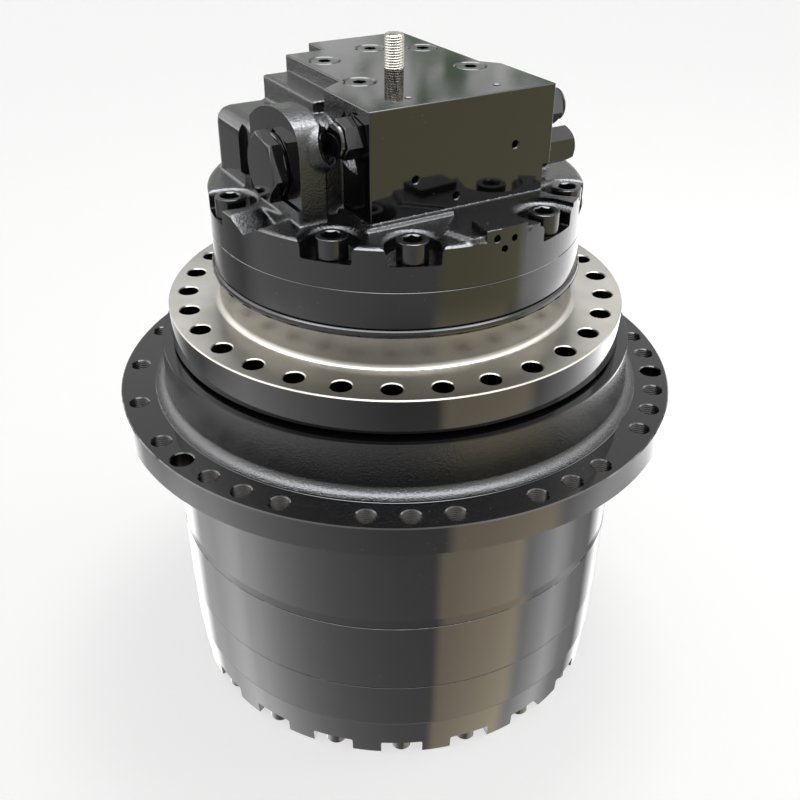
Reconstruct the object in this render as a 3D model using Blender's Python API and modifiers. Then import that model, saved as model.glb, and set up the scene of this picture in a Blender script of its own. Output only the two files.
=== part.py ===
"""Excavator final drive: a hydraulic travel motor on a two-stage planetary hub.

It stands on its end cover, with the hub's axis up. Metres, origin under the axis on the ground.
The motor case bolts to the track frame and the hub carries the sprocket.
"""

import math

import bmesh
import bpy
from mathutils import Matrix, Vector

# Fits: the gap between touching pieces, how far a cutter runs past a face, and turned edges
SEAT = 0.0003
REACH = 0.003
EDGE_CHAMFER = 0.0018

# Sides of round pieces
TURNED_SEGMENTS = 32
INNER_SEGMENTS = 20
PIN_SEGMENTS = 16
ROUND_SEGMENTS = 12
SCREW_SEGMENTS = 8
HOLE_SEGMENTS = 6

# Hub drum, from the ground up
END_COVER_HEIGHT = 0.051
RING_1_HEIGHT = 0.059
RING_2_HEIGHT = 0.088
HUB_BARREL_HEIGHT = 0.141
SPROCKET_FLANGE_THICKNESS = 0.032
HUB_NECK_HEIGHT = 0.056
DRUM_RADIUS = 0.257
DRUM_TAPER = 0.003
DRUM_BORE_RADIUS = 0.222
HUB_GROOVE_HEIGHT = 0.010
HUB_GROOVE_DEPTH = 0.0025

# Sprocket flange
SPROCKET_FLANGE_RADIUS = 0.3074
SPROCKET_BOLT_CIRCLE = 0.290
SPROCKET_PITCHES = 44
SPROCKET_FIRST_ANGLE = math.radians(-136.1)
SPROCKET_HOLE_RADIUS = 0.0098
DOWEL_HOLE_RADIUS = 0.0115
DOWEL_PLACES = (0, 16, 22, 38)
PLAIN_PLACES = (4, 8, 12, 20, 26, 30, 34, 40, 42)
HUB_FOOT_RADIUS = 0.270
HUB_FILLET_RADIUS = 0.017
HUB_WAIST_RADIUS = 0.26065
HUB_WAIST_DROP = 0.028
SEAL_FLOOR_DEPTH = 0.009

# Frame flange and motor case
LABYRINTH_GAP = 0.003
FRAME_FLANGE_THICKNESS = 0.037
FRAME_FLANGE_RADIUS = 0.2455
FRAME_BOLT_CIRCLE = 0.225
FRAME_BOLTS = 30
FRAME_FIRST_ANGLE = math.radians(-90.7)
FRAME_HOLE_RADIUS = 0.0105
PILOT_RADIUS = 0.190
PILOT_HEIGHT = 0.034
PILOT_FILLET = 0.007
LIP_RADIUS = 0.196
LIP_HEIGHT = 0.009
CASE_RADIUS = 0.193
CASE_BAND_HEIGHT = 0.038
CASE_CAVITY_RADIUS = 0.150
CASE_WEB_THICKNESS = 0.025
SPINDLE_NECK_RADIUS = 0.186
SPINDLE_NECK_HEIGHT = 0.042
SPINDLE_RADIUS = 0.160
SPINDLE_BORE_RADIUS = 0.120

# Main bearings and their nut
BEARING_HEIGHT = 0.040
BEARING_RIB_HEIGHT = 0.040
BEARING_OUTER_RADIUS = 0.215
RACE_THICKNESS = 0.018
BEARING_RIB_RADIUS = 0.200
ROLLERS = 16
NUT_HEIGHT = 0.024
NUT_RADIUS = 0.185
SPINDLE_END = 0.009

# Face seal
SEAL_FIXED_RADIUS = 0.212
SEAL_HEIGHT = 0.016
SEAL_FIXED_HEIGHT = 0.018

# Gear train: stage 1 is the lower one, stage 2 drives the hub
MODULE_1 = 0.008
SUN_1_TEETH = 9
PLANET_1_TEETH = 21
RING_1_TEETH = SUN_1_TEETH + 2 * PLANET_1_TEETH
PLANETS_1 = 3
PLANET_1_WIDTH = 0.040
MODULE_2 = 0.010
SUN_2_TEETH = 12
PLANET_2_TEETH = 14
RING_2_TEETH = SUN_2_TEETH + 2 * PLANET_2_TEETH
PLANETS_2 = 4
PLANET_2_WIDTH = 0.060
ADDENDUM = 0.75
DEDENDUM = 1.0
TOOTH_FILL = 0.44
FLANK_SLOPE = 0.36
PIN_1_RADIUS = 0.018
PIN_2_RADIUS = 0.022
PIN_REST = 0.004
CARRIER_1_THICKNESS = 0.016
CARRIER_1_RIM = 0.028
CARRIER_2_THICKNESS = 0.034
CARRIER_2_RADIUS = 0.184
CARRIER_2_SPIGOT_HEIGHT = 0.028
CARRIER_2_SPIGOT_WALL = 0.024
STAGE_GAP = 0.004
SHAFT_RADIUS = 0.018
SUN_2_BORE_RADIUS = 0.024
SUN_2_SPIGOT_RADIUS = 0.036

# Hydraulic motor inside the case
TILT_RADIUS = 0.070
TILT_FACE_DROP = 0.025
TILT_LENGTH = 0.120
TILT_AT_REST = math.radians(16)
TILT_TROUGH_DEPTH = 0.010
SWASH_BORE_RADIUS = 0.042
CASE_SHAFT_BORE = 0.034
CYLINDER_BLOCK_RADIUS = 0.085
CYLINDER_BLOCK_HEIGHT = 0.066
CYLINDERS = 9
CYLINDER_CIRCLE = 0.058
CYLINDER_RADIUS = 0.012
CYLINDER_DEPTH = 0.045
VALVE_PLATE_RADIUS = 0.080
VALVE_PLATE_THICKNESS = 0.006

# End cover
COVER_SKIN = 0.018
COVER_DISH = 0.012
COVER_RIM_WIDTH = 0.032
NOTCHES = 20
NOTCH_FIRST_ANGLE = math.radians(-88)
NOTCH_WIDTH = 0.0464
NOTCH_HEIGHT = 0.017
NOTCH_DEPTH = 0.028
COVER_BOLT_CIRCLE = 0.2385
COVER_BOLT_RADIUS = 0.011
COVER_BOLT_HEAD = 0.0152
THRUST_BOSS_RADIUS = 0.020
OIL_PLUG_CIRCLE = 0.150
OIL_PLUG_RADIUS = 0.016
OIL_PLUG_SHANK = 0.0112
OIL_PLUG_HEAD = 0.007

# Rear cover and its valve block
REAR_COVER_HEIGHT = 0.042
REAR_COVER_BEVEL = 0.004
POCKET_DEPTH = 0.017
POCKET_RADIUS = 0.028
CAP_SCREW_CIRCLE = 0.176
CAP_SCREW_STEP = math.radians(24)
CAP_SCREW_FIRST = math.radians(-13)
CAP_SCREW_PLACES = (0, 1, 3, 4, 6, 8, 9, 10, 12)
CAP_SCREW_RADIUS = 0.010
CAP_SCREW_HEAD_RADIUS = 0.015
CAP_SCREW_HEAD_HEIGHT = 0.020
CAP_SCREW_SOCKET_DEPTH = 0.010
CAP_SCREW_LENGTH = 0.055
BLOCK_TURN = math.radians(30)
BLOCK_RISE = 0.004
BLOCK_HEIGHT = 0.103
BLOCK_SINK = 0.010
BLOCK_EDGE = 0.0025
BLOCK_LEFT = -0.094
BLOCK_RIGHT = 0.106
BLOCK_FRONT = -0.118
BLOCK_WAIST_FRONT = -0.029
BLOCK_WAIST_BACK = -0.011
BLOCK_REAR_LEFT = -0.068
BLOCK_REAR_RIGHT = 0.092
BLOCK_BACK = 0.111
BLOCK_PORT_LEFT = -0.024
BLOCK_PORT_BACK = 0.148
LEDGE_DROP = 0.015
LEDGE_WIDTH = 0.029
LUG_FACE = -0.145
LUG_THICKNESS = 0.025
LUG_FRONT = -0.080
LUG_BACK = 0.030
LUG_TOP = 0.094
LUG_ROUND = 0.054
CORE_RIGHT = 0.112
CORE_FRONT = -0.060
CORE_BACK = 0.045
CORE_TOP = 0.080
CORE_ROUND = 0.032
BACK_DROP = 0.030
LOBE_REACH = 0.152
LOBE_BACK = 0.122
LOBE_HEIGHT = 0.063
LOBE_ROUND = 0.016

# Spool bore across the block, measured in the block's own frame
SPOOL_ACROSS = -0.028
SPOOL_UP = 0.039
SPOOL_RADIUS = 0.014
SPOOL_WAIST = 0.0098
SPOOL_LANDS = 5
SPOOL_TRAVEL = 0.009
SPOOL_BORE_RADIUS = SPOOL_RADIUS + SEAT
SPOOL_CAP_FLATS = 0.055
SPOOL_CAP_HEIGHT = 0.016
SPOOL_CAP_COLLAR = 0.030
SPOOL_CAP_COLLAR_HEIGHT = 0.0032
SPOOL_CAP_SHANK = 0.022
SPOOL_CAP_DEPTH = 0.030

# Relief valves, one on each side face of the block
RELIEF_ACROSS = -0.093
RELIEF_UP = 0.075
RELIEF_FLATS = 0.036
RELIEF_HEX_HEIGHT = 0.018
RELIEF_NECK_RADIUS = 0.013
RELIEF_NECK_HEIGHT = 0.001
RELIEF_CAP_RADIUS = 0.0155
RELIEF_CAP_HEIGHT = 0.003
RELIEF_SHANK_RADIUS = 0.011
RELIEF_SHANK_DEPTH = 0.022

# Pilot plug under the right-hand relief valve
PILOT_UP = 0.033
PILOT_FLATS = 0.036
PILOT_HEIGHT_OUT = 0.038
PILOT_COLLAR_RADIUS = 0.0195
PILOT_COLLAR_HEIGHT = 0.006

# Slanted barrel between the lug and the block, closed by a socket plug
BARREL_END = (-0.115, -0.076, 0.064)
BARREL_AXIS = (0.773, -0.562, 0.300)
BARREL_RADIUS = 0.022
BARREL_LENGTH = 0.018
BARREL_PLUG_RADIUS = 0.017
BARREL_PLUG_DEPTH = 0.014

# Plugs in the block's top face, across and along the block
PORT_PLUGS = (
    (-0.053, -0.0235),
    (0.072, -0.0236),
    (-0.045, 0.067),
    (0.072, 0.068),
    (0.022, 0.093),
)
PORT_PLUG_RADIUS = 0.015
PORT_PLUG_DEPTH = 0.014
PLUG_SOCKET_DEPTH = 0.0084

# Width of a hexagon socket, as a share of its head
HEX_SOCKET_SHARE = 0.5625

# Main ports in the block's back face
MAIN_PORT_RADIUS = 0.0125
MAIN_PORT_DEPTH = 0.030
MAIN_PORTS = (0.008, 0.060)
MAIN_PORT_UP = 0.040

# Lifting stud in the middle of the block's top
STUD_RADIUS = 0.010
STUD_SHOWS = 0.033
STUD_DEPTH = 0.022
STUD_ACROSS = 0.002
STUD_ALONG = 0.007

# Levels that follow from the stack of heights
COVER_TOP = END_COVER_HEIGHT
RING_1_TOP = COVER_TOP + RING_1_HEIGHT
RING_2_TOP = RING_1_TOP + RING_2_HEIGHT
SPROCKET_BACK = RING_2_TOP + HUB_BARREL_HEIGHT
SPROCKET_FACE = SPROCKET_BACK + SPROCKET_FLANGE_THICKNESS
HUB_RIM = SPROCKET_FACE + HUB_NECK_HEIGHT
FRAME_BACK = HUB_RIM + LABYRINTH_GAP
FRAME_FACE = FRAME_BACK + FRAME_FLANGE_THICKNESS
PILOT_TOP = FRAME_FACE + PILOT_HEIGHT
LIP_TOP = PILOT_TOP + LIP_HEIGHT
CASE_TOP = LIP_TOP + CASE_BAND_HEIGHT
REAR_COVER_TOP = CASE_TOP + REAR_COVER_HEIGHT
BLOCK_FOOT = REAR_COVER_TOP + BLOCK_RISE
BLOCK_TOP = BLOCK_FOOT + BLOCK_HEIGHT
POCKET_FLOOR = REAR_COVER_TOP - POCKET_DEPTH

SHOULDER = FRAME_BACK - SPINDLE_NECK_HEIGHT
BEARING_1_TOP = SHOULDER - SEAT
BEARING_1_FOOT = BEARING_1_TOP - BEARING_HEIGHT
RIB_TOP = BEARING_1_FOOT - SEAT
RIB_FOOT = RIB_TOP - BEARING_RIB_HEIGHT
BEARING_2_TOP = RIB_FOOT - SEAT
BEARING_2_FOOT = BEARING_2_TOP - BEARING_HEIGHT
NUT_TOP = BEARING_2_FOOT - SEAT
NUT_FOOT = NUT_TOP - NUT_HEIGHT
SPINDLE_FOOT = NUT_FOOT - SPINDLE_END

CARRIER_2_TOP = SPINDLE_FOOT - SEAT
CARRIER_2_FOOT = CARRIER_2_TOP - CARRIER_2_THICKNESS
PLANET_2_TOP = CARRIER_2_FOOT - STAGE_GAP
PLANET_2_FOOT = PLANET_2_TOP - PLANET_2_WIDTH
PIN_2_FOOT = PLANET_2_FOOT - PIN_REST
CARRIER_1_TOP = PIN_2_FOOT - STAGE_GAP
CARRIER_1_FOOT = CARRIER_1_TOP - CARRIER_1_THICKNESS
PLANET_1_TOP = CARRIER_1_FOOT - STAGE_GAP
PLANET_1_FOOT = PLANET_1_TOP - PLANET_1_WIDTH
PIN_1_FOOT = PLANET_1_FOOT - PIN_REST
SHAFT_FOOT = PIN_1_FOOT

CAVITY_FLOOR = SHOULDER + CASE_WEB_THICKNESS
TILT_AXIS = CAVITY_FLOOR - TILT_TROUGH_DEPTH + SEAT + TILT_RADIUS
VALVE_PLATE_TOP = CASE_TOP - SEAT
VALVE_PLATE_FOOT = VALVE_PLATE_TOP - VALVE_PLATE_THICKNESS
CYLINDER_BLOCK_TOP = VALVE_PLATE_FOOT - SEAT
CYLINDER_BLOCK_FOOT = CYLINDER_BLOCK_TOP - CYLINDER_BLOCK_HEIGHT

SUN_1_RADIUS = MODULE_1 * SUN_1_TEETH / 2
PLANET_1_RADIUS = MODULE_1 * PLANET_1_TEETH / 2
CENTRE_1 = SUN_1_RADIUS + PLANET_1_RADIUS
CENTRE_2 = MODULE_2 * (SUN_2_TEETH + PLANET_2_TEETH) / 2
RACE_INNER_OUT = SPINDLE_RADIUS + SEAT + RACE_THICKNESS
RACE_OUTER_IN = BEARING_OUTER_RADIUS - RACE_THICKNESS

BLOCK_FRAME = Matrix.Rotation(BLOCK_TURN, 4, "Z")
# Local X, Y and Z of a profile that is extruded across the block, from left to right
ACROSS_FRAME = BLOCK_FRAME @ Matrix(((0, 0, 1, 0), (1, 0, 0, 0), (0, 1, 0, 0), (0, 0, 0, 1)))
# Local Z of a profile that is extruded along the block, from front to back
ALONG_FRAME = BLOCK_FRAME @ Matrix(((-1, 0, 0, 0), (0, 0, 1, 0), (0, 1, 0, 0), (0, 0, 0, 1)))
SPOOL_HEIGHT = BLOCK_FOOT + SPOOL_UP
RELIEF_HEIGHT = BLOCK_FOOT + RELIEF_UP
PILOT_LEVEL = BLOCK_FOOT + PILOT_UP

# First words of the names of the pieces that turn together
HUB_PIECES = (
    "sprocket_hub",
    "ring_gear",
    "end_cover",
    "oil_",
    "bearing_outer",
    "rotating_seal",
)
CARRIER_PIECES = ("carrier_stage_1", "sun_gear", "planet_pin_stage_1", "planet_gear_stage_1")
INPUT_PIECES = ("drive_shaft", "cylinder_block")

PARTS = bpy.data.collections.new("final_drive")
CUTTERS = bpy.data.collections.new("cutters")


def clear_scene():
    """Remove what the scene holds and link the two collections."""
    for obj in list(bpy.data.objects):
        bpy.data.objects.remove(obj, do_unlink=True)
    for collection in (PARTS, CUTTERS):
        bpy.context.scene.collection.children.link(collection)


def make_material(name, colour, metallic, roughness):
    """A Principled material."""
    material = bpy.data.materials.new(name)
    material.use_nodes = True
    shader = material.node_tree.nodes["Principled BSDF"]
    shader.inputs["Base Color"].default_value = (*colour, 1)
    shader.inputs["Metallic"].default_value = metallic
    shader.inputs["Roughness"].default_value = roughness
    return material


PAINT = make_material("gloss_black_paint", (0.012, 0.012, 0.013), 0.0, 0.2)
BARE_STEEL = make_material("turned_steel", (0.55, 0.53, 0.50), 1.0, 0.3)
GEAR_STEEL = make_material("case_hardened_steel", (0.30, 0.30, 0.31), 1.0, 0.35)
BEARING_STEEL = make_material("ground_bearing_steel", (0.62, 0.62, 0.63), 1.0, 0.15)
OXIDE_STEEL = make_material("black_oxide_steel", (0.02, 0.02, 0.02), 0.6, 0.35)
ZINC = make_material("bright_zinc", (0.7, 0.69, 0.66), 1.0, 0.25)
BRONZE = make_material("valve_bronze", (0.48, 0.33, 0.17), 1.0, 0.35)


def add_object(name, mesh, collection, material=None):
    """Link a mesh as a new object."""
    obj = bpy.data.objects.new(name, mesh)
    if material:
        mesh.materials.append(material)
    collection.objects.link(obj)
    if collection is CUTTERS:
        obj.hide_render = True
        obj.display_type = "WIRE"
    return obj


def turned(name, profile, segments, collection=PARTS, material=None):
    """A profile of (radius, height) points, outer side from top to bottom, turned about Z."""
    points = [(radius, 0, height) for radius, height in profile]
    lines = [(i, i + 1) for i in range(len(points) - 1)]
    if min(radius for radius, _ in profile) > 0:
        lines.append((len(points) - 1, 0))
    mesh = bpy.data.meshes.new(name)
    mesh.from_pydata(points, lines, [])
    obj = add_object(name, mesh, collection, material)
    screw = obj.modifiers.new("Turn", "SCREW")
    screw.steps = segments
    screw.render_steps = segments
    screw.use_merge_vertices = True
    screw.merge_threshold = 0.00001
    screw.use_smooth_shade = True
    return obj


def mesh_of(obj, name):
    """The evaluated mesh of an object, welded, with the object itself removed."""
    bpy.context.view_layer.update()
    evaluated = obj.evaluated_get(bpy.context.evaluated_depsgraph_get())
    mesh = bpy.data.meshes.new_from_object(evaluated)
    mesh.name = name
    mesh.transform(obj.matrix_world)
    shape = bmesh.new()
    shape.from_mesh(mesh)
    bmesh.ops.remove_doubles(shape, verts=shape.verts, dist=0.000001)
    bmesh.ops.recalc_face_normals(shape, faces=shape.faces)
    shape.to_mesh(mesh)
    shape.free()
    bpy.data.objects.remove(obj, do_unlink=True)
    return mesh


def prism(name, loops, low, high, collection=PARTS, material=None, frame=None):
    """Flat outlines, the first one outside and the rest holes, extruded from low to high."""
    curve = bpy.data.curves.new(name, "CURVE")
    curve.dimensions = "2D"
    curve.fill_mode = "BOTH"
    curve.extrude = (high - low) / 2
    for loop in loops:
        spline = curve.splines.new("POLY")
        spline.points.add(len(loop) - 1)
        for point, (x, y) in zip(spline.points, loop):
            point.co = (x, y, 0, 1)
        spline.use_cyclic_u = True
    guide = bpy.data.objects.new(name, curve)
    bpy.context.scene.collection.objects.link(guide)
    guide.matrix_world = (frame or Matrix()) @ Matrix.Translation((0, 0, (low + high) / 2))
    mesh = mesh_of(guide, name)
    bpy.data.curves.remove(curve)
    return add_object(name, mesh, collection, material)


def rods(name, places, radius, low, high, segments, collection=CUTTERS, frame=None):
    """Several equal upright cylinders in one object, at the given (x, y) places."""
    shape = bmesh.new()
    for x, y in places:
        spot = Matrix.Translation((x, y, (low + high) / 2))
        bmesh.ops.create_cone(
            shape,
            cap_ends=True,
            segments=segments,
            radius1=radius,
            radius2=radius,
            depth=high - low,
            matrix=(frame or Matrix()) @ spot,
        )
    mesh = bpy.data.meshes.new(name)
    shape.to_mesh(mesh)
    shape.free()
    return add_object(name, mesh, collection)


def boxes(name, places, size, collection=CUTTERS):
    """Several equal boxes in one object. A place is a matrix to the box's middle."""
    shape = bmesh.new()
    for place in places:
        scale = Matrix.Diagonal((*size, 1))
        bmesh.ops.create_cube(shape, size=1, matrix=place @ scale)
    mesh = bpy.data.meshes.new(name)
    shape.to_mesh(mesh)
    shape.free()
    return add_object(name, mesh, collection)


def combine(obj, other, operation):
    """Add a Boolean modifier."""
    modifier = obj.modifiers.new(f"{operation} {other.name}", "BOOLEAN")
    modifier.operation = operation
    modifier.solver = "EXACT"
    modifier.object = other


def cut(obj, cutter):
    combine(obj, cutter, "DIFFERENCE")


def join(obj, piece):
    combine(obj, piece, "UNION")


def bevel(obj, width, segments=1):
    """Round the sharp edges."""
    modifier = obj.modifiers.new("Edges", "BEVEL")
    modifier.width = width
    modifier.segments = segments
    modifier.limit_method = "ANGLE"
    modifier.angle_limit = math.radians(50)


def around(radius, segments):
    """Corner radius of a polygon whose flats clear a circle of this radius."""
    return radius / math.cos(math.pi / segments)


def polar(radius, angle):
    """A flat point at a radius and angle."""
    return radius * math.cos(angle), radius * math.sin(angle)


def ring_places(radius, count, first=0.0):
    """Equally spaced points on a circle."""
    return [polar(radius, first + i * math.tau / count) for i in range(count)]


def arc(centre, radius, start, end, steps):
    """Points on an arc, ends included."""
    angles = [start + (end - start) * i / steps for i in range(steps + 1)]
    return [(centre[0] + radius * math.cos(a), centre[1] + radius * math.sin(a)) for a in angles]


def hexagon(flats, centre=(0, 0), turn=0.0):
    """Corners of a hexagon of a width across flats."""
    corners = ring_places(flats / math.sqrt(3), 6, turn)
    return [(centre[0] + x, centre[1] + y) for x, y in corners]


def gear_outline(teeth, module, phase, inside=False):
    """Points of a toothed circle, with an outer gear's tooth or an inner gear's space at phase."""
    pitch_radius = module * teeth / 2
    pitch = math.tau / teeth
    fill = 1 - TOOTH_FILL if inside else TOOTH_FILL
    outer = DEDENDUM if inside else ADDENDUM
    inner = ADDENDUM if inside else DEDENDUM
    root_radius = pitch_radius - inner * module
    tip_radius = pitch_radius + outer * module
    root_half = pitch * fill / 2 + inner * module * FLANK_SLOPE / pitch_radius
    tip_half = pitch * fill / 2 - outer * module * FLANK_SLOPE / pitch_radius
    points = []
    for i in range(teeth):
        middle = phase + i * pitch
        points.append(polar(root_radius, middle - root_half))
        points.append(polar(tip_radius, middle - tip_half))
        points.append(polar(tip_radius, middle + tip_half))
        points.append(polar(root_radius, middle + root_half))
    return points


def planet_phase(sun_teeth, planet_teeth, angle):
    """The turn of a planet at this angle that puts its tooth spaces over the sun's teeth."""
    sun_share = (angle * sun_teeth / math.tau) % 1
    return angle + math.pi + (sun_share + 0.5) * math.tau / planet_teeth


def ring_phase(planet_teeth, ring_teeth, planet_turn, angle):
    """The turn of a ring whose spaces take the planet's teeth at this angle."""
    planet_share = ((angle - planet_turn) * planet_teeth / math.tau) % 1
    return angle - planet_share * math.tau / ring_teeth


def motor_case():
    """Frame flange, pilot, case band and hollow spindle in one turned piece."""
    fillet = arc(
        (PILOT_RADIUS + PILOT_FILLET, FRAME_FACE + PILOT_FILLET),
        PILOT_FILLET,
        math.pi,
        1.5 * math.pi,
        2,
    )
    profile = [
        (CASE_CAVITY_RADIUS, CASE_TOP),
        (CASE_RADIUS, CASE_TOP),
        (CASE_RADIUS, LIP_TOP),
        (LIP_RADIUS, LIP_TOP),
        (LIP_RADIUS, PILOT_TOP),
        (PILOT_RADIUS, PILOT_TOP),
        *fillet,
        (FRAME_FLANGE_RADIUS - EDGE_CHAMFER, FRAME_FACE),
        (FRAME_FLANGE_RADIUS, FRAME_FACE - EDGE_CHAMFER),
        (FRAME_FLANGE_RADIUS, FRAME_BACK),
        (SPINDLE_NECK_RADIUS, FRAME_BACK),
        (SPINDLE_NECK_RADIUS, SHOULDER),
        (SPINDLE_RADIUS, SHOULDER),
        (SPINDLE_RADIUS, SPINDLE_FOOT),
        (SPINDLE_BORE_RADIUS, SPINDLE_FOOT),
        (SPINDLE_BORE_RADIUS, SHOULDER),
        (CASE_SHAFT_BORE, SHOULDER),
        (CASE_SHAFT_BORE, CAVITY_FLOOR),
        (CASE_CAVITY_RADIUS, CAVITY_FLOOR),
    ]
    case = turned("motor_case", profile, TURNED_SEGMENTS, material=PAINT)
    flange_holes = rods(
        "frame_holes",
        ring_places(FRAME_BOLT_CIRCLE, FRAME_BOLTS, FRAME_FIRST_ANGLE),
        FRAME_HOLE_RADIUS,
        FRAME_BACK - REACH,
        FRAME_FACE + REACH,
        HOLE_SEGMENTS,
    )
    cut(case, flange_holes)
    screw_holes = rods(
        "case_screw_holes",
        cap_screw_places(),
        CAP_SCREW_RADIUS + SEAT,
        POCKET_FLOOR - CAP_SCREW_LENGTH - REACH,
        CASE_TOP + REACH,
        SCREW_SEGMENTS,
    )
    cut(case, screw_holes)
    trough_frame = Matrix.Translation((0, 0, TILT_AXIS)) @ Matrix.Rotation(math.pi / 2, 4, "Y")
    half = TILT_LENGTH / 2 + REACH
    trough_radius = around(TILT_RADIUS + SEAT, INNER_SEGMENTS)
    trough = rods(
        "tilt_trough", [(0, 0)], trough_radius, -half, half, INNER_SEGMENTS, frame=trough_frame
    )
    cut(case, trough)


def sprocket_hub():
    """The turning casting with the sprocket flange."""
    fillet_middle = (HUB_FOOT_RADIUS, SPROCKET_FACE + HUB_FILLET_RADIUS)
    fillet = arc(fillet_middle, HUB_FILLET_RADIUS, 1.25 * math.pi, 1.5 * math.pi, 2)
    fillet = [(min(radius, HUB_FOOT_RADIUS), height) for radius, height in fillet]
    floor = HUB_RIM - SEAL_FLOOR_DEPTH
    seal_floor = FRAME_BACK - SEAT - SEAL_FIXED_HEIGHT - SEAT - SEAL_HEIGHT - SEAT
    bore = BEARING_OUTER_RADIUS + SEAT
    profile = [
        (DRUM_RADIUS, HUB_RIM),
        (HUB_WAIST_RADIUS, HUB_RIM - HUB_WAIST_DROP),
        *fillet,
        (SPROCKET_FLANGE_RADIUS - EDGE_CHAMFER, SPROCKET_FACE),
        (SPROCKET_FLANGE_RADIUS, SPROCKET_FACE - EDGE_CHAMFER),
        (SPROCKET_FLANGE_RADIUS, SPROCKET_BACK),
        (DRUM_RADIUS, SPROCKET_BACK),
        (DRUM_RADIUS, RING_2_TOP + HUB_GROOVE_HEIGHT),
        (DRUM_RADIUS - HUB_GROOVE_DEPTH, RING_2_TOP + HUB_GROOVE_HEIGHT),
        (DRUM_RADIUS - HUB_GROOVE_DEPTH, RING_2_TOP),
        (DRUM_BORE_RADIUS, RING_2_TOP),
        (DRUM_BORE_RADIUS, BEARING_2_FOOT),
        (bore, BEARING_2_FOOT),
        (bore, RIB_FOOT),
        (BEARING_RIB_RADIUS, RIB_FOOT),
        (BEARING_RIB_RADIUS, RIB_TOP),
        (bore, RIB_TOP),
        (bore, seal_floor),
        (DRUM_BORE_RADIUS, seal_floor),
        (DRUM_BORE_RADIUS, floor),
        (FRAME_FLANGE_RADIUS + LABYRINTH_GAP, floor),
    ]
    hub = turned("sprocket_hub", profile, TURNED_SEGMENTS, material=PAINT)
    angles = {i: SPROCKET_FIRST_ANGLE + i * math.tau / SPROCKET_PITCHES for i in range(SPROCKET_PITCHES)}
    bolt_angles = [angle for i, angle in angles.items() if i not in PLAIN_PLACES + DOWEL_PLACES]
    dowel_angles = [angles[i] for i in DOWEL_PLACES]
    for name, radius, group in (
        ("sprocket_holes", SPROCKET_HOLE_RADIUS, bolt_angles),
        ("dowel_holes", DOWEL_HOLE_RADIUS, dowel_angles),
    ):
        holes = rods(
            name,
            [polar(SPROCKET_BOLT_CIRCLE, angle) for angle in group],
            radius,
            SPROCKET_BACK - REACH,
            SPROCKET_FACE + REACH,
            HOLE_SEGMENTS,
        )
        cut(hub, holes)


def end_cover():
    """The dished cover with its castellated rim and bolt heads."""
    rim_in = DRUM_RADIUS - DRUM_TAPER - COVER_RIM_WIDTH
    foot_radius = DRUM_RADIUS - 2 * DRUM_TAPER
    skin_top = COVER_DISH + COVER_SKIN
    wall_in = DRUM_BORE_RADIUS - DRUM_TAPER * 2
    profile = [
        (0, SHAFT_FOOT - SEAT),
        (THRUST_BOSS_RADIUS, SHAFT_FOOT - SEAT),
        (THRUST_BOSS_RADIUS, skin_top),
        (wall_in, skin_top),
        (wall_in, COVER_TOP - SEAT),
        (DRUM_RADIUS - DRUM_TAPER, COVER_TOP - SEAT),
        (foot_radius, 0),
        (rim_in, 0),
        (rim_in, COVER_DISH),
        (0, COVER_DISH),
    ]
    cover = turned("end_cover", profile, NOTCHES * 2, material=PAINT)
    places = []
    for i in range(NOTCHES):
        turn = Matrix.Rotation(NOTCH_FIRST_ANGLE + i * math.tau / NOTCHES, 4, "Z")
        reach = foot_radius - NOTCH_DEPTH
        places.append(turn @ Matrix.Translation((reach + NOTCH_DEPTH, 0, 0)))
    notches = boxes("cover_notches", places, (2 * NOTCH_DEPTH, NOTCH_WIDTH, 2 * NOTCH_HEIGHT))
    cut(cover, notches)
    heads = rods(
        "cover_bolt_heads",
        ring_places(COVER_BOLT_CIRCLE, NOTCHES, NOTCH_FIRST_ANGLE),
        COVER_BOLT_RADIUS,
        NOTCH_HEIGHT - COVER_BOLT_HEAD,
        NOTCH_HEIGHT + REACH,
        HOLE_SEGMENTS,
    )
    join(cover, heads)
    plug_holes = rods(
        "oil_plug_holes",
        oil_plug_places(),
        OIL_PLUG_SHANK + SEAT,
        COVER_DISH - REACH,
        skin_top + REACH,
        ROUND_SEGMENTS,
    )
    cut(cover, plug_holes)


def oil_plug_places():
    """Drain and level plugs on opposite sides of the cover."""
    return ring_places(OIL_PLUG_CIRCLE, 2, NOTCH_FIRST_ANGLE)


def oil_plugs():
    """Screwed plugs in the end cover's face."""
    top = COVER_DISH + COVER_SKIN
    head_foot = COVER_DISH - SEAT - OIL_PLUG_HEAD
    for name, (x, y) in zip(("oil_drain_plug", "oil_level_plug"), oil_plug_places()):
        profile = [
            (0, top),
            (OIL_PLUG_SHANK, top),
            (OIL_PLUG_SHANK, COVER_DISH - SEAT),
            (OIL_PLUG_RADIUS, COVER_DISH - SEAT),
            (OIL_PLUG_RADIUS, head_foot),
            (0, head_foot),
        ]
        plug = turned(name, profile, ROUND_SEGMENTS, material=OXIDE_STEEL)
        plug.location = (x, y, 0)


def ring_gears():
    """The two toothed rings that form the drum's wall below the hub."""
    first = ring_phase(PLANET_1_TEETH, RING_1_TEETH, planet_phase(SUN_1_TEETH, PLANET_1_TEETH, 0), 0)
    second = ring_phase(PLANET_2_TEETH, RING_2_TEETH, planet_phase(SUN_2_TEETH, PLANET_2_TEETH, 0), 0)
    first_teeth = gear_outline(RING_1_TEETH, MODULE_1, first, inside=True)
    second_teeth = gear_outline(RING_2_TEETH, MODULE_2, second, inside=True)
    for name, teeth, low, high, radius in (
        ("ring_gear_stage_1", first_teeth, COVER_TOP, RING_1_TOP, DRUM_RADIUS - DRUM_TAPER / 3),
        ("ring_gear_stage_2", second_teeth, RING_1_TOP, RING_2_TOP, DRUM_RADIUS),
    ):
        outside = ring_places(radius, TURNED_SEGMENTS)
        prism(name, [outside, teeth], low, high - SEAT, material=PAINT)


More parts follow.
